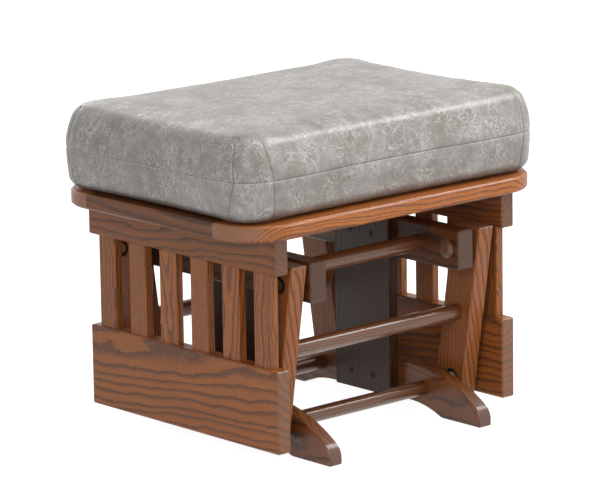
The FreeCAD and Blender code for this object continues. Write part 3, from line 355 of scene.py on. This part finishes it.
def wood(name, figure, centre, seed):
    """Stained oak: growth rings round the pith, pores, fine fibres and end grain in grey-brown,
    which is partly its own tone and partly a painted sheen of the lacquer.
    """
    material = bpy.data.materials.new(name)
    tree = Tree(material)
    along, across = figure.along.normalized(), figure.across.normalized()
    place = tree.add("ShaderNodeTexCoord").outputs["Object"]
    place = tree.vector("SUBTRACT", place, tuple(centre))
    axes = [
        tree.vector("DOT_PRODUCT", place, tuple(axis * MM_PER_METRE))
        for axis in (along, across, along.cross(across))
    ]

    def stretched(kind):
        combined = tree.add("ShaderNodeCombineXYZ")
        scales = (kind.along, kind.across, kind.across)
        for socket, source, scale in zip(combined.inputs, axes, scales):
            tree.join(tree.math("MULTIPLY_ADD", source, scale, seed + kind.shift), socket)
        return tree.noise(combined.outputs[0], 1.0, kind.detail, kind.roughness)

    band = tree.ramp(ring_place(tree, figure, axes, stretched, seed), RING_STOPS)
    streaks = tree.ramp(stretched(PORES), PORE_STOPS)
    more = tree.math("MULTIPLY_ADD", band, 1 - PORES_BETWEEN_BANDS, PORES_BETWEEN_BANDS)
    streaks = tree.math("MULTIPLY", streaks, more)
    fibres = stretched(FIBRES)
    fine = tree.ramp(fibres, FIBRE_STOPS)

    light, middle, dark, pore, end = (
        scaled(colour, figure.tone)
        for colour in (LIGHT_OAK, MIDDLE_OAK, DARK_OAK, PORE_OAK, END_GRAIN_SHEEN_OAK)
    )
    normal = tree.add("ShaderNodeTexCoord").outputs["Normal"]
    facing = tree.vector("DOT_PRODUCT", normal, tuple(along))
    # End grain painted greyer: partly its own tone, partly a painted sheen of the lacquer
    end_grain_sheen = tree.ramp(tree.math("ABSOLUTE", facing), END_STOPS)
    colour = tree.mix(stretched(PATCHES), light, middle)
    for layer, share, tint in (
        (fine, FIBRE_SHARE, middle),
        (band, BAND_SHARE, dark),
        (streaks, PORE_SHARE, pore),
        (end_grain_sheen, END_SHEEN_SHARE, end),
    ):
        colour = tree.mix(tree.math("MULTIPLY", layer, share), colour, tint)

    height = tree.math("MULTIPLY", fibres, FIBRE_RELIEF)
    height = tree.math("MULTIPLY_ADD", streaks, PORE_RELIEF, height)
    height = tree.math("MULTIPLY_ADD", band, BAND_RELIEF, height)
    rough = tree.math("MULTIPLY_ADD", streaks, PORE_ROUGH, WOOD_ROUGH)
    tree.surface(
        Base_Color=colour,
        Roughness=tree.math("MULTIPLY_ADD", fibres, FIBRE_ROUGH, rough),
        Normal=tree.bump(height, WOOD_BUMP, WOOD_RELIEF),
        Specular_IOR_Level=WOOD_SPECULAR,
        Coat_Weight=figure.gloss,
        Coat_Roughness=WOOD_COAT_ROUGH,
    )
    return material


def centre_of(node):
    low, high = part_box(node)
    return (low + high) / 2


def dress_node(name, material):
    """Gives a CAD node its material."""
    materials = nodes[name].data.materials
    materials.clear()
    materials.append(material)


def soften_edges(name, width):
    """Rounds a CAD node's sharp edges."""
    rounding = nodes[name].modifiers.new("soft_edges", "BEVEL")
    rounding.width = width
    rounding.segments = ROUNDING_STEPS
    rounding.limit_method = "ANGLE"
    rounding.angle_limit = SHARP_EDGE


# Boards of each side. The second number of a pith is its distance towards the outside.
SIDE_FIGURES = {
    "skirt": Figure(ALONG_Y, ALONG_Z, (58, -34), (0.07, 0.03), 11.0, 1.12, 1.1),
    "panel_rail": Figure(ALONG_Y, ALONG_Z, (24, -30), (0.04, 0.02), 8.0, 0.82, 0.9),
    "foot": Figure(ALONG_Y, ALONG_Z, (-24, 40), (0.05, 0.03), 7.0, 0.62, 1.2, 0.4),
    # The base rails' and the post's low tones are painted shade, for the shade inside the base
    "base_rail": Figure(ALONG_Y, ALONG_Z, (20, 60), (0.02, 0.02), 7.0, 0.42, 0.6),
    "post": Figure(ALONG_Z, ALONG_Y, (90, 60), (0.03, 0.02), 6.0, 0.17, 0.6),
    "frame_board": Figure(ALONG_Y, ALONG_X, (20, 60), (0.02, 0.02), 9.0, 0.55, 0.7),
    "slat_1": Figure(ALONG_Z, ALONG_Y, (34, -40), (0.04, 0.03), 5.0, 1.02, 1.5),
    "slat_2": Figure(ALONG_Z, ALONG_Y, (4, -22), (0.07, 0.05), 8.0, 1.16, 0.7),
    "slat_3": Figure(ALONG_Z, ALONG_Y, (80, -60), (0.02, 0.02), 3.0, 1.12, 0.4),
    "slat_4": Figure(ALONG_Z, ALONG_Y, (-3, -20), (-0.08, 0.04), 8.5, 1.16, 0.8),
    "slat_5": Figure(ALONG_Z, ALONG_Y, (-75, -60), (0.02, 0.02), 2.8, 1.1, 0.4),
    "slat_6": Figure(ALONG_Z, ALONG_Y, (-30, -36), (0.03, 0.05), 5.5, 1.0, 1.6),
}
# Pieces whose grain is not mirrored from side to side
UNMIRRORED = ("foot", "base_rail", "post", "frame_board")
# Change of the noise from piece to piece and from side to side
PIECE_SEED, SIDE_SEED = 3.7, 31.0
# The grain of an arm leans with it: its run along Y for each unit of height
ARM_LEAN = 0.159
ARM_FIGURE = Figure(ALONG_Z, ALONG_Y, (60, 40), (0.01, 0.01), 4.4, 1.1, 0.4)
DOWEL_FIGURE = Figure(ALONG_X, ALONG_Y, (18, 25), (0.01, 0.0), 3.5, 0.52, 0.5, 0.8)
END_BOARD_FIGURE = Figure(ALONG_X, ALONG_Y, (60, 55), (0.01, 0.02), 3.4, 1.5, 0.5)
BUTTON_FIGURE = Figure(ALONG_X, ALONG_Y, (30, 200), (0.0, 0.0), 4.0, 0.8, 0.5, 0.5)
DECK_FIGURE = Figure(ALONG_Y, ALONG_X, (0, 300), (0, 0), 14.0, 1.5)
BEECH_FIGURE = Figure(ALONG_Y, ALONG_X, (0, 60), (0, 0), 2.5, 2.4)
BUTTON_CENTRE = Vector((0, 0, 0.2565))
BUTTON_ROUNDING, ROUNDING_STEPS, SHARP_EDGE = 1.5 * MM, 2, math.radians(30)
BEECH_CENTRE = Vector((0, 0, 0.37))
ARM_SEEDS, DOWEL_SEEDS, END_BOARD_SEEDS = (13.0, 18.0), (0.0, 7.0), (23.0, 24.0)
BUTTON_SEED, DECK_SEED, BEECH_SEED = 9.0, 3.0, 5.0


def make_boards():
    """Every wooden piece, each with its own figure."""
    for side, out in (("left", -1), ("right", 1)):
        for number, (kind, figure) in enumerate(SIDE_FIGURES.items()):
            if kind not in UNMIRRORED:
                figure = figure._replace(pith=(figure.pith[0], figure.pith[1] * out))
            name = f"{side}_{kind}"
            seed = PIECE_SEED * number + SIDE_SEED * (out + 1)
            dress_node(name, wood(f"oak_{name}", figure, centre_of(name), seed))
    for index, (end, lean) in enumerate((("front", -ARM_LEAN), ("rear", ARM_LEAN))):
        arm = ARM_FIGURE._replace(along=Vector((0, lean, 1)))
        plans = {
            f"{end}_left_arm": (arm, ARM_SEEDS[index]),
            f"{end}_right_arm": (arm, ARM_SEEDS[index]),
            f"{end}_frame_board": (END_BOARD_FIGURE, END_BOARD_SEEDS[index]),
        }
        for kind in ("top", "bottom", "arm"):
            plans[f"{end}_{kind}_dowel"] = (DOWEL_FIGURE, DOWEL_SEEDS[index] + len(kind))
        for name, (figure, seed) in plans.items():
            dress_node(name, wood(f"oak_{name}", figure, centre_of(name), seed))
    for name, material_name, figure, centre, seed in (
        ("upper_pivot_buttons", "oak_buttons", BUTTON_FIGURE, BUTTON_CENTRE, BUTTON_SEED),
        ("seat_deck", "deck_board", DECK_FIGURE, centre_of("seat_deck"), DECK_SEED),
        ("frame_joint_dowels", "raw_beech", BEECH_FIGURE, BEECH_CENTRE, BEECH_SEED),
    ):
        dress_node(name, wood(material_name, figure, centre, seed))
    soften_edges("upper_pivot_buttons", BUTTON_ROUNDING)


# Metal

# Noises: scale per metre, detail and roughness
METAL_GRAIN = (900.0, 3.0, 0.6)
METAL_PATCHES = (120.0, 2.0, 0.5)
METAL_SHADE = 0.8
METAL_BUMP, METAL_RELIEF = 0.2, 0.05 * MM
SCRATCH_ROUGH = 0.1
# Colour and roughness
ZINC = ("zinc_plate", linear(215, 215, 212), 0.42)
BRASS = ("insert_brass", linear(205, 170, 105), 0.32)
BLACKENED = ("blackened_steel", linear(44, 40, 38), 0.45)
# Painted shade: the upper pivot hardware and the bearing housings are coloured like the wood in
# shade round them
SHADE_BROWN_STEEL = ("shade_brown_steel", linear(104, 76, 56), 0.5)
HOUSING = ("housing_metal", linear(88, 74, 64), 0.45)
METAL_NODES = {
    ZINC: (
        "upper_pivot_sleeves", "lower_pivot_bolts", "lower_pivot_sleeves", "lower_pivot_washers",
    ),
    BRASS: ("lower_pivot_inserts",),
    BLACKENED: ("post_screws", "frame_screws"),
    SHADE_BROWN_STEEL: ("upper_pivot_bolts", "upper_pivot_nuts", "upper_pivot_washers"),
    HOUSING: ("front_arm_bearings", "rear_arm_bearings"),
}


def metal(name, colour, roughness):
    """Metal with a fine grain and darker patches."""
    material = bpy.data.materials.new(name)
    tree = Tree(material)
    place = tree.add("ShaderNodeTexCoord").outputs["Object"]
    fine = tree.noise(place, *METAL_GRAIN)
    patches = tree.noise(place, *METAL_PATCHES)
    tree.surface(
        Base_Color=tree.mix(patches, colour, scaled(colour, METAL_SHADE)),
        Metallic=1.0,
        Roughness=tree.math("MULTIPLY_ADD", fine, SCRATCH_ROUGH, roughness),
        Normal=tree.bump(fine, METAL_BUMP, METAL_RELIEF),
    )
    return material


def make_hardware():
    """Every metal piece, in its finish."""
    for finish, names in METAL_NODES.items():
        material = metal(*finish)
        for name in names:
            dress_node(name, material)


# Cushion

CUSHION_LOW, CUSHION_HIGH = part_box("cushion")
CUSHION_BOTTOM = CUSHION_LOW.z
ROOM_TO_SWELL = 1 * MM
HALF_WIDTH = CUSHION_HIGH.x - ROOM_TO_SWELL
HALF_DEPTH = CUSHION_HIGH.y - ROOM_TO_SWELL
# Level outline: its corners get tighter with the inset, and its sides draw in between them
CORNER, LEAST_CORNER, CORNER_SHRINK = 46 * MM, 12 * MM, 0.6
SIDE_DRAW = 3 * MM
# Steps round a corner, close steps over the fine reach beside it, and steps along a side
FINE_REACH = 24 * MM
ARC_STEPS, FINE_STEPS, SIDE_STEPS = 64, 18, 20
SEAM_HEIGHT = CUSHION_BOTTOM + 61 * MM
# Runs up the cover from the seam and down from it: length (mm), lean at its end (degrees), steps
SEAM_LEAN = 2.0
UPPER_RUNS = ((4.0, 5.0, 5), (42.0, 20.0, 9), (25.0, 84.0, 10), (60.0, 88.5, 5), (60.0, 89.6, 4))
LOWER_RUNS = ((4.0, 3.0, 5), (41.0, 6.0, 7), (27.0, 90.0, 10))
# The lowest part is moved up or down to rest just over the frame
REST_GAP, FITTED_REACH = 0.6 * MM, 0.06
# Shares of the way to the middle of the top and of the underside
TOP_SHARES, UNDERSIDE_SHARES = (0.2, 0.4, 0.6, 0.8, 0.93), (0.3, 0.6, 0.9)
CROWN_RISE = 0.4 * MM


class Seam(NamedTuple):
    """A corner seam: its distance from the middle plane, and how that changes with height."""

    distance: float
    slope_above: float
    slope_below: float


LEFT_SEAM = Seam(0.235, 0.13, 0.12)
RIGHT_SEAM = Seam(0.247, 0.0, 0.12)
SIDE_SEAM = Seam(0.180, -0.16, 0.30)
# How far from the faces a point may be and still belong to a seam on them
NEAR_END, NEAR_SIDE = 35 * MM, 45 * MM
# Depth and width of the groove at a seam, and of the soft hollow round it
GROOVE, GROOVE_WIDTH = 1.1 * MM, 1.5 * MM
HOLLOW, HOLLOW_WIDTH = 1.0 * MM, 9.0 * MM
# A face that looks up or down by more than this share has no seam
LEVEL_ENOUGH = 0.85
# Unevenness of the filling: how far it moves the cover, and its two scales per metre
LUMPS = 1.1 * MM
BROAD_LUMPS, SMALL_LUMPS, SMALL_LUMP_SHARE = 11.0, 26.0, 0.5
FLAT_SHARE = 0.6
FREE_HEIGHT = 12 * MM
# Cloth simulation, and how far it may move a point and over how many points that is averaged
VOXEL = 5 * MM
PRESSURE, STRETCH_STIFFNESS, BEND_STIFFNESS = 4.0, 30.0, 2.0
LAST_FRAME = 20
MOST_MOVE = 4 * MM
NEAR_POINTS = 48
LEAST_LENGTH = 1e-9
FRAME_CLEARANCE = 0.3 * MM

COVER_BROWN = linear(144, 136, 128)
COVER_GREY = linear(164, 160, 156)
COVER_SHADE = linear(118, 112, 107)
# Pale vein colour, also used for the painted highlight just under the level seam
PALE_VEIN_AND_HIGHLIGHT = linear(204, 201, 197)
# Dark seam colour, also used as the painted shade along the cover's lowest part
COVER_SEAM_AND_SHADE = linear(82, 78, 76)
# Noises: scale per metre, detail, roughness and distortion
CLOUDS = (16.0, 3.0, 0.55, 0.3)
CRACKLES = ((46.0, 2.0, 0.55, 1.8), (90.0, 2.0, 0.55, 1.8))
CRACKLE_SHIFTS = (0.0, 4.0)
CRACKLE_STRETCH = (0.8, 1.15, 0.85)
CLUSTERS = (30.0, 3.0, 0.6)
SMUDGES = (75.0, 4.0, 0.65)
GRAIN = (520.0, 3.0, 0.55)
CLOUD_STOPS = ((0.38, 0.0), (0.62, 1.0))
CRACKLE_STOPS = ((0.0, 1.0), (0.016, 0.7), (0.036, 0.0))
CLUSTER_STOPS = ((0.40, 0.1), (0.60, 1.0))
SMUDGE_STOPS = ((0.35, 0.0), (0.65, 1.0))
# Seam lines: their ramps run over 4 mm, and over 4 mm above and below the level seam
CORNER_REACH, LEVEL_SCALE = 4.0, 0.125
CORNER_STOPS = ((0.0, 1.0), (0.12, 0.8), (0.26, 0.0))
FACE_STOPS = ((0.6, 0.0), (0.72, 1.0))
LEVEL_STOPS = ((0.42, 0.0), (0.46, 0.25), (0.5, 1.0), (0.56, 0.7), (0.6, 0.0))
# Painted highlight: a pale line just under the level seam
SEAM_HIGHLIGHT_STOPS = ((0.24, 0.0), (0.33, 1.0), (0.43, 0.0))
# Painted shade: the cover is painted darker from 43 mm below the level seam down to its
# underside
UNDERSIDE_SHADE_REACH, UNDERSIDE_SHADE_STOPS = 60, ((0.72, 0.0), (1.0, 0.7))
SMUDGE_SHARE, CRACKLE_SHARE, SEAM_HIGHLIGHT_SHARE, SEAM_SHARE = 0.42, 0.78, 0.45, 0.72
CRACKLE_RELIEF, SEAM_RELIEF, SMUDGE_RELIEF = 0.8, -3.0, 1.2
COVER_BUMP, COVER_RELIEF = 0.3, 0.2 * MM
COVER_ROUGH, GRAIN_ROUGH, SMUDGE_ROUGH = 0.31, 0.08, 0.05
COVER_SPECULAR = 0.5


def mottled(tree, place):
    """The cover's colour away from its seams, its crackle and its smudges."""
    base = tree.mix(tree.ramp(tree.noise(place, *CLOUDS), CLOUD_STOPS), COVER_BROWN, COVER_GREY)
    warped = tree.vector("MULTIPLY", place, CRACKLE_STRETCH)
    lines = []
    for settings, shift in zip(CRACKLES, CRACKLE_SHIFTS):
        veins = tree.noise(tree.vector("ADD", warped, (shift, shift, shift)), *settings)
        line = tree.math("ABSOLUTE", tree.math("SUBTRACT", veins, 0.5))
        lines.append(tree.ramp(line, CRACKLE_STOPS))
    clusters = tree.ramp(tree.noise(place, *CLUSTERS), CLUSTER_STOPS)
    crackle = tree.math("MULTIPLY", tree.math("MAXIMUM", *lines), clusters)
    smudge = tree.ramp(tree.noise(place, *SMUDGES), SMUDGE_STOPS)
    base = tree.mix(tree.math("MULTIPLY", smudge, SMUDGE_SHARE), base, COVER_SHADE)
    base = tree.mix(tree.math("MULTIPLY", crackle, CRACKLE_SHARE), base, PALE_VEIN_AND_HIGHLIGHT)
    return base, crackle, smudge


def corner_seam(tree, distance, above, below, seam, face):
    """1 on a corner seam, on the faces that are turned its way."""
    gap = tree.math("MULTIPLY", distance, 1 / MM)
    gap = tree.math("SUBTRACT", gap, seam.distance / MM)
    gap = tree.math("MULTIPLY_ADD", above, -seam.slope_above, gap)
    gap = tree.math("MULTIPLY_ADD", below, seam.slope_below, gap)
    line = tree.math("DIVIDE", tree.math("ABSOLUTE", gap), CORNER_REACH)
    turned = tree.ramp(tree.math("ABSOLUTE", face), FACE_STOPS)
    return tree.math("MULTIPLY", tree.ramp(line, CORNER_STOPS), turned)


def cover():
    """Grey mottled leather-like cover with clusters of fine pale crackle and stitched seams,
    with a painted highlight just under the level seam and painted shade along its lowest part.
    """
    material = bpy.data.materials.new("grey_cover")
    tree = Tree(material)
    coordinates = tree.add("ShaderNodeTexCoord")
    place = coordinates.outputs["Object"]
    base, crackle, smudge = mottled(tree, place)
    x, y, z = tree.split(place)
    normal_x, normal_y = tree.split(coordinates.outputs["Normal"])[:2]
    rise = tree.math("MULTIPLY", tree.math("SUBTRACT", z, SEAM_HEIGHT), 1 / MM)
    above = tree.math("MAXIMUM", rise, 0.0)
    below = tree.math("MAXIMUM", tree.math("MULTIPLY", rise, -1.0), 0.0)
    along_level = tree.math("MULTIPLY_ADD", rise, LEVEL_SCALE, 0.5)
    seams = tree.ramp(along_level, LEVEL_STOPS)
    for distance, seam, face in (
        (tree.math("MULTIPLY", x, -1.0), LEFT_SEAM, normal_y),
        (x, RIGHT_SEAM, normal_y),
        (tree.math("ABSOLUTE", y), SIDE_SEAM, normal_x),
    ):
        line = corner_seam(tree, distance, above, below, seam, face)
        seams = tree.math("MAXIMUM", seams, line)
    # Painted highlight: a pale line painted just under the level seam, where the lower panel
    # meets it
    painted_seam_highlight = tree.ramp(along_level, SEAM_HIGHLIGHT_STOPS)
    # Painted shade: the lowest part of the cover, next to the frame, is darkened in the seam
    # colour
    underside_shade = tree.ramp(tree.math("MULTIPLY", rise, -1 / UNDERSIDE_SHADE_REACH), UNDERSIDE_SHADE_STOPS)
    base = tree.mix(underside_shade, base, COVER_SEAM_AND_SHADE)
    base = tree.mix(tree.math("MULTIPLY", painted_seam_highlight, SEAM_HIGHLIGHT_SHARE), base, PALE_VEIN_AND_HIGHLIGHT)
    base = tree.mix(tree.math("MULTIPLY", seams, SEAM_SHARE), base, COVER_SEAM_AND_SHADE)

    grain = tree.noise(place, *GRAIN)
    height = tree.math("MULTIPLY_ADD", crackle, CRACKLE_RELIEF, grain)
    height = tree.math("MULTIPLY_ADD", seams, SEAM_RELIEF, height)
    height = tree.math("MULTIPLY_ADD", smudge, SMUDGE_RELIEF, height)
    rough = tree.math("MULTIPLY_ADD", grain, GRAIN_ROUGH, COVER_ROUGH)
    tree.surface(
        Base_Color=base,
        Roughness=tree.math("MULTIPLY_ADD", smudge, SMUDGE_ROUGH, rough),
        Normal=tree.bump(height, COVER_BUMP, COVER_RELIEF),
        Specular_IOR_Level=COVER_SPECULAR,
    )
    return material


def towards(angle):
    """The level direction at an angle."""
    return Vector((math.cos(angle), math.sin(angle)))


def section(half_x, half_y, corner, height):
    """Points round a level outline with round corners and sides that draw in between them."""
    quarter_turn = math.pi / 2
    points = []
    for quarter in range(4):
        start = quarter_turn * quarter
        centres = []
        for turn in (quarter, quarter + 1):
            sign_x = 1 if turn % 4 in (0, 3) else -1
            sign_y = 1 if turn % 4 in (0, 1) else -1
            centres.append(Vector((sign_x * (half_x - corner), sign_y * (half_y - corner))))
        for step in range(ARC_STEPS + 1):
            points.append(centres[0] + corner * towards(start + quarter_turn * step / ARC_STEPS))
        outwards = towards(start + quarter_turn)
        begin, finish = centres[0] + corner * outwards, centres[1] + corner * outwards
        near = FINE_REACH / (finish - begin).length
        shares = [near * step / FINE_STEPS for step in range(1, FINE_STEPS)]
        shares += [near + (1 - 2 * near) * step / SIDE_STEPS for step in range(SIDE_STEPS + 1)]
        shares += [1 - near * step / FINE_STEPS for step in range(FINE_STEPS - 1, 0, -1)]
        for share in shares:
            bow = SIDE_DRAW * (1 - (2 * share - 1) ** 2) ** 2
            points.append(begin.lerp(finish, share) - outwards * bow)
    return [Vector((point.x, point.y, height)) for point in points]


def profile(runs, direction):
    """Inset and height at each step of the cover's profile, away from the level seam."""
    rings = []
    inset, height, lean = 0.0, SEAM_HEIGHT, SEAM_LEAN
    for length, end_lean, steps in runs:
        for step in range(steps):
            angle = math.radians(lean + (end_lean - lean) * (step + 0.5) / steps)
            inset += math.sin(angle) * length / steps * MM
            height += direction * math.cos(angle) * length / steps * MM
            rings.append((inset, height))
        lean = end_lean
    return rings


def drawn_in(mesh_tool, loop, share, lift):
    """A copy of a loop, nearer to the middle."""
    height = loop[0].co.z + lift
    rest = 1 - share
    return [mesh_tool.verts.new((v.co.x * rest, v.co.y * rest, height)) for v in loop]


def cushion_mesh():
    """The cover's mesh, as loops from the middle of the underside to the middle of the top."""
    lower = list(reversed(profile(LOWER_RUNS, -1)))
    rings = lower + [(0.0, SEAM_HEIGHT)] + profile(UPPER_RUNS, 1)
    drop = lower[0][1] - CUSHION_BOTTOM - REST_GAP
    mesh_tool = bmesh.new()
    loops = []
    for inset, height in rings:
        corner = max(CORNER - inset * CORNER_SHRINK, LEAST_CORNER)
        fall = drop * max(0.0, min(1.0, (SEAM_HEIGHT - height) / FITTED_REACH))
        points = section(HALF_WIDTH - inset, HALF_DEPTH - inset, corner, height - fall)
        loops.append([mesh_tool.verts.new(point) for point in points])
    lowest, highest = loops[0], loops[-1]
    for share in TOP_SHARES:
        loops.append(drawn_in(mesh_tool, highest, share, CROWN_RISE * share))
    for share in UNDERSIDE_SHARES:
        loops.insert(0, drawn_in(mesh_tool, lowest, share, 0.0))
    for low, high in zip(loops, loops[1:]):
        count = len(low)
        for index in range(count):
            after = (index + 1) % count
            mesh_tool.faces.new((low[index], low[after], high[after], high[index]))
    for loop in (loops[0], loops[-1]):
        middle = mesh_tool.verts.new((0, 0, loop[0].co.z))
        for index, vertex in enumerate(loop):
            mesh_tool.faces.new((middle, vertex, loop[(index + 1) % len(loop)]))
    bmesh.ops.recalc_face_normals(mesh_tool, faces=mesh_tool.faces)
    mesh = bpy.data.meshes.new("cushion_cover")
    mesh_tool.to_mesh(mesh)
    mesh_tool.free()
    return mesh


def inflate(item):
    """Swells the cover by a short cloth simulation on a remeshed copy of it."""
    copy = bpy.data.objects.new("swelling", item.data.copy())
    bpy.context.collection.objects.link(copy)
    remesh = copy.modifiers.new("remesh", "REMESH")
    remesh.mode = "VOXEL"
    remesh.voxel_size = VOXEL
    depsgraph = bpy.context.evaluated_depsgraph_get()
    coarse = bpy.data.meshes.new_from_object(copy.evaluated_get(depsgraph))
    copy.modifiers.clear()
    copy.data = coarse
    rest = np.array([vertex.co for vertex in coarse.vertices])
    cloth = copy.modifiers.new("cloth", "CLOTH")
    cloth.settings.use_pressure = True
    cloth.settings.uniform_pressure_force = PRESSURE
    cloth.settings.effector_weights.gravity = 0.0
    cloth.settings.tension_stiffness = STRETCH_STIFFNESS
    cloth.settings.compression_stiffness = STRETCH_STIFFNESS
    cloth.settings.bending_stiffness = BEND_STIFFNESS
    scene = bpy.context.scene
    for number in range(1, LAST_FRAME + 1):
        scene.frame_set(number)
    depsgraph = bpy.context.evaluated_depsgraph_get()
    swollen = copy.evaluated_get(depsgraph).to_mesh()
    moved = np.array([vertex.co for vertex in swollen.vertices])
    scene.frame_set(1)
    step = moved - rest
    length = np.linalg.norm(step, axis=1)
    step *= np.minimum(1.0, MOST_MOVE / np.maximum(length, LEAST_LENGTH))[:, None]
    bpy.data.objects.remove(copy)
    tree = KDTree(len(rest))
    for index, point in enumerate(rest):
        tree.insert(point, index)
    tree.balance()
    for vertex in item.data.vertices:
        near = [index for point, index, away in tree.find_n(vertex.co, NEAR_POINTS)]
        vertex.co += Vector(step[near].mean(axis=0))
        vertex.co.z = max(vertex.co.z, CUSHION_BOTTOM + FRAME_CLEARANCE)
    item.data.update()


def seam_gap(point):
    """Distance in metres from a point on the cover to the nearest seam, at the side faces."""
    rise = point.z - SEAM_HEIGHT
    above, below = max(rise, 0.0), max(-rise, 0.0)
    gaps = [abs(rise)]
    near_end = abs(point.y) > HALF_DEPTH - NEAR_END
    near_side = abs(point.x) > HALF_WIDTH - NEAR_SIDE
    for distance, seam, near in (
        (-point.x, LEFT_SEAM, near_end),
        (point.x, RIGHT_SEAM, near_end),
        (abs(point.y), SIDE_SEAM, near_side),
    ):
        if near:
            change = seam.slope_above * above - seam.slope_below * below
            gaps.append(abs(distance - seam.distance - change))
    return min(gaps)


def sink_seams(mesh, normals):
    """Draws the cover in along its seams, with a soft hollow beside them."""
    for vertex, normal in zip(mesh.vertices, normals):
        if abs(normal.z) <= LEVEL_ENOUGH:
            gap = seam_gap(vertex.co)
            depth = GROOVE * math.exp(-((gap / GROOVE_WIDTH) ** 2))
            depth += HOLLOW * math.exp(-((gap / HOLLOW_WIDTH) ** 2))
            vertex.co -= normal * depth


def fill_unevenly(mesh, normals):
    """Moves the cover in and out a little, as an uneven filling does, above the frame."""
    for vertex, normal in zip(mesh.vertices, normals):
        swell = noise.noise(vertex.co * BROAD_LUMPS)
        swell += SMALL_LUMP_SHARE * noise.noise(vertex.co * SMALL_LUMPS)
        if vertex.co.z > CUSHION_BOTTOM + FREE_HEIGHT:
            vertex.co += normal * LUMPS * swell * (1.0 - FLAT_SHARE * abs(normal.z))
    mesh.update()


def make_cushion():
    """The swollen cover in its seams, in place of the CAD cushion."""
    cushion = bpy.data.objects.new("cushion_cover", cushion_mesh())
    bpy.context.collection.objects.link(cushion)
    inflate(cushion)
    normals = [vertex.normal.copy() for vertex in cushion.data.vertices]
    sink_seams(cushion.data, normals)
    fill_unevenly(cushion.data, normals)
    for face in cushion.data.polygons:
        face.use_smooth = True
    cushion.data.materials.append(cover())
    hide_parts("cushion")
    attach(cushion, "seat")


bpy.context.scene.view_settings.view_transform = "Standard"
make_camera()
make_floor()
make_world()
make_lamps()
make_boards()
make_hardware()
make_cushion()
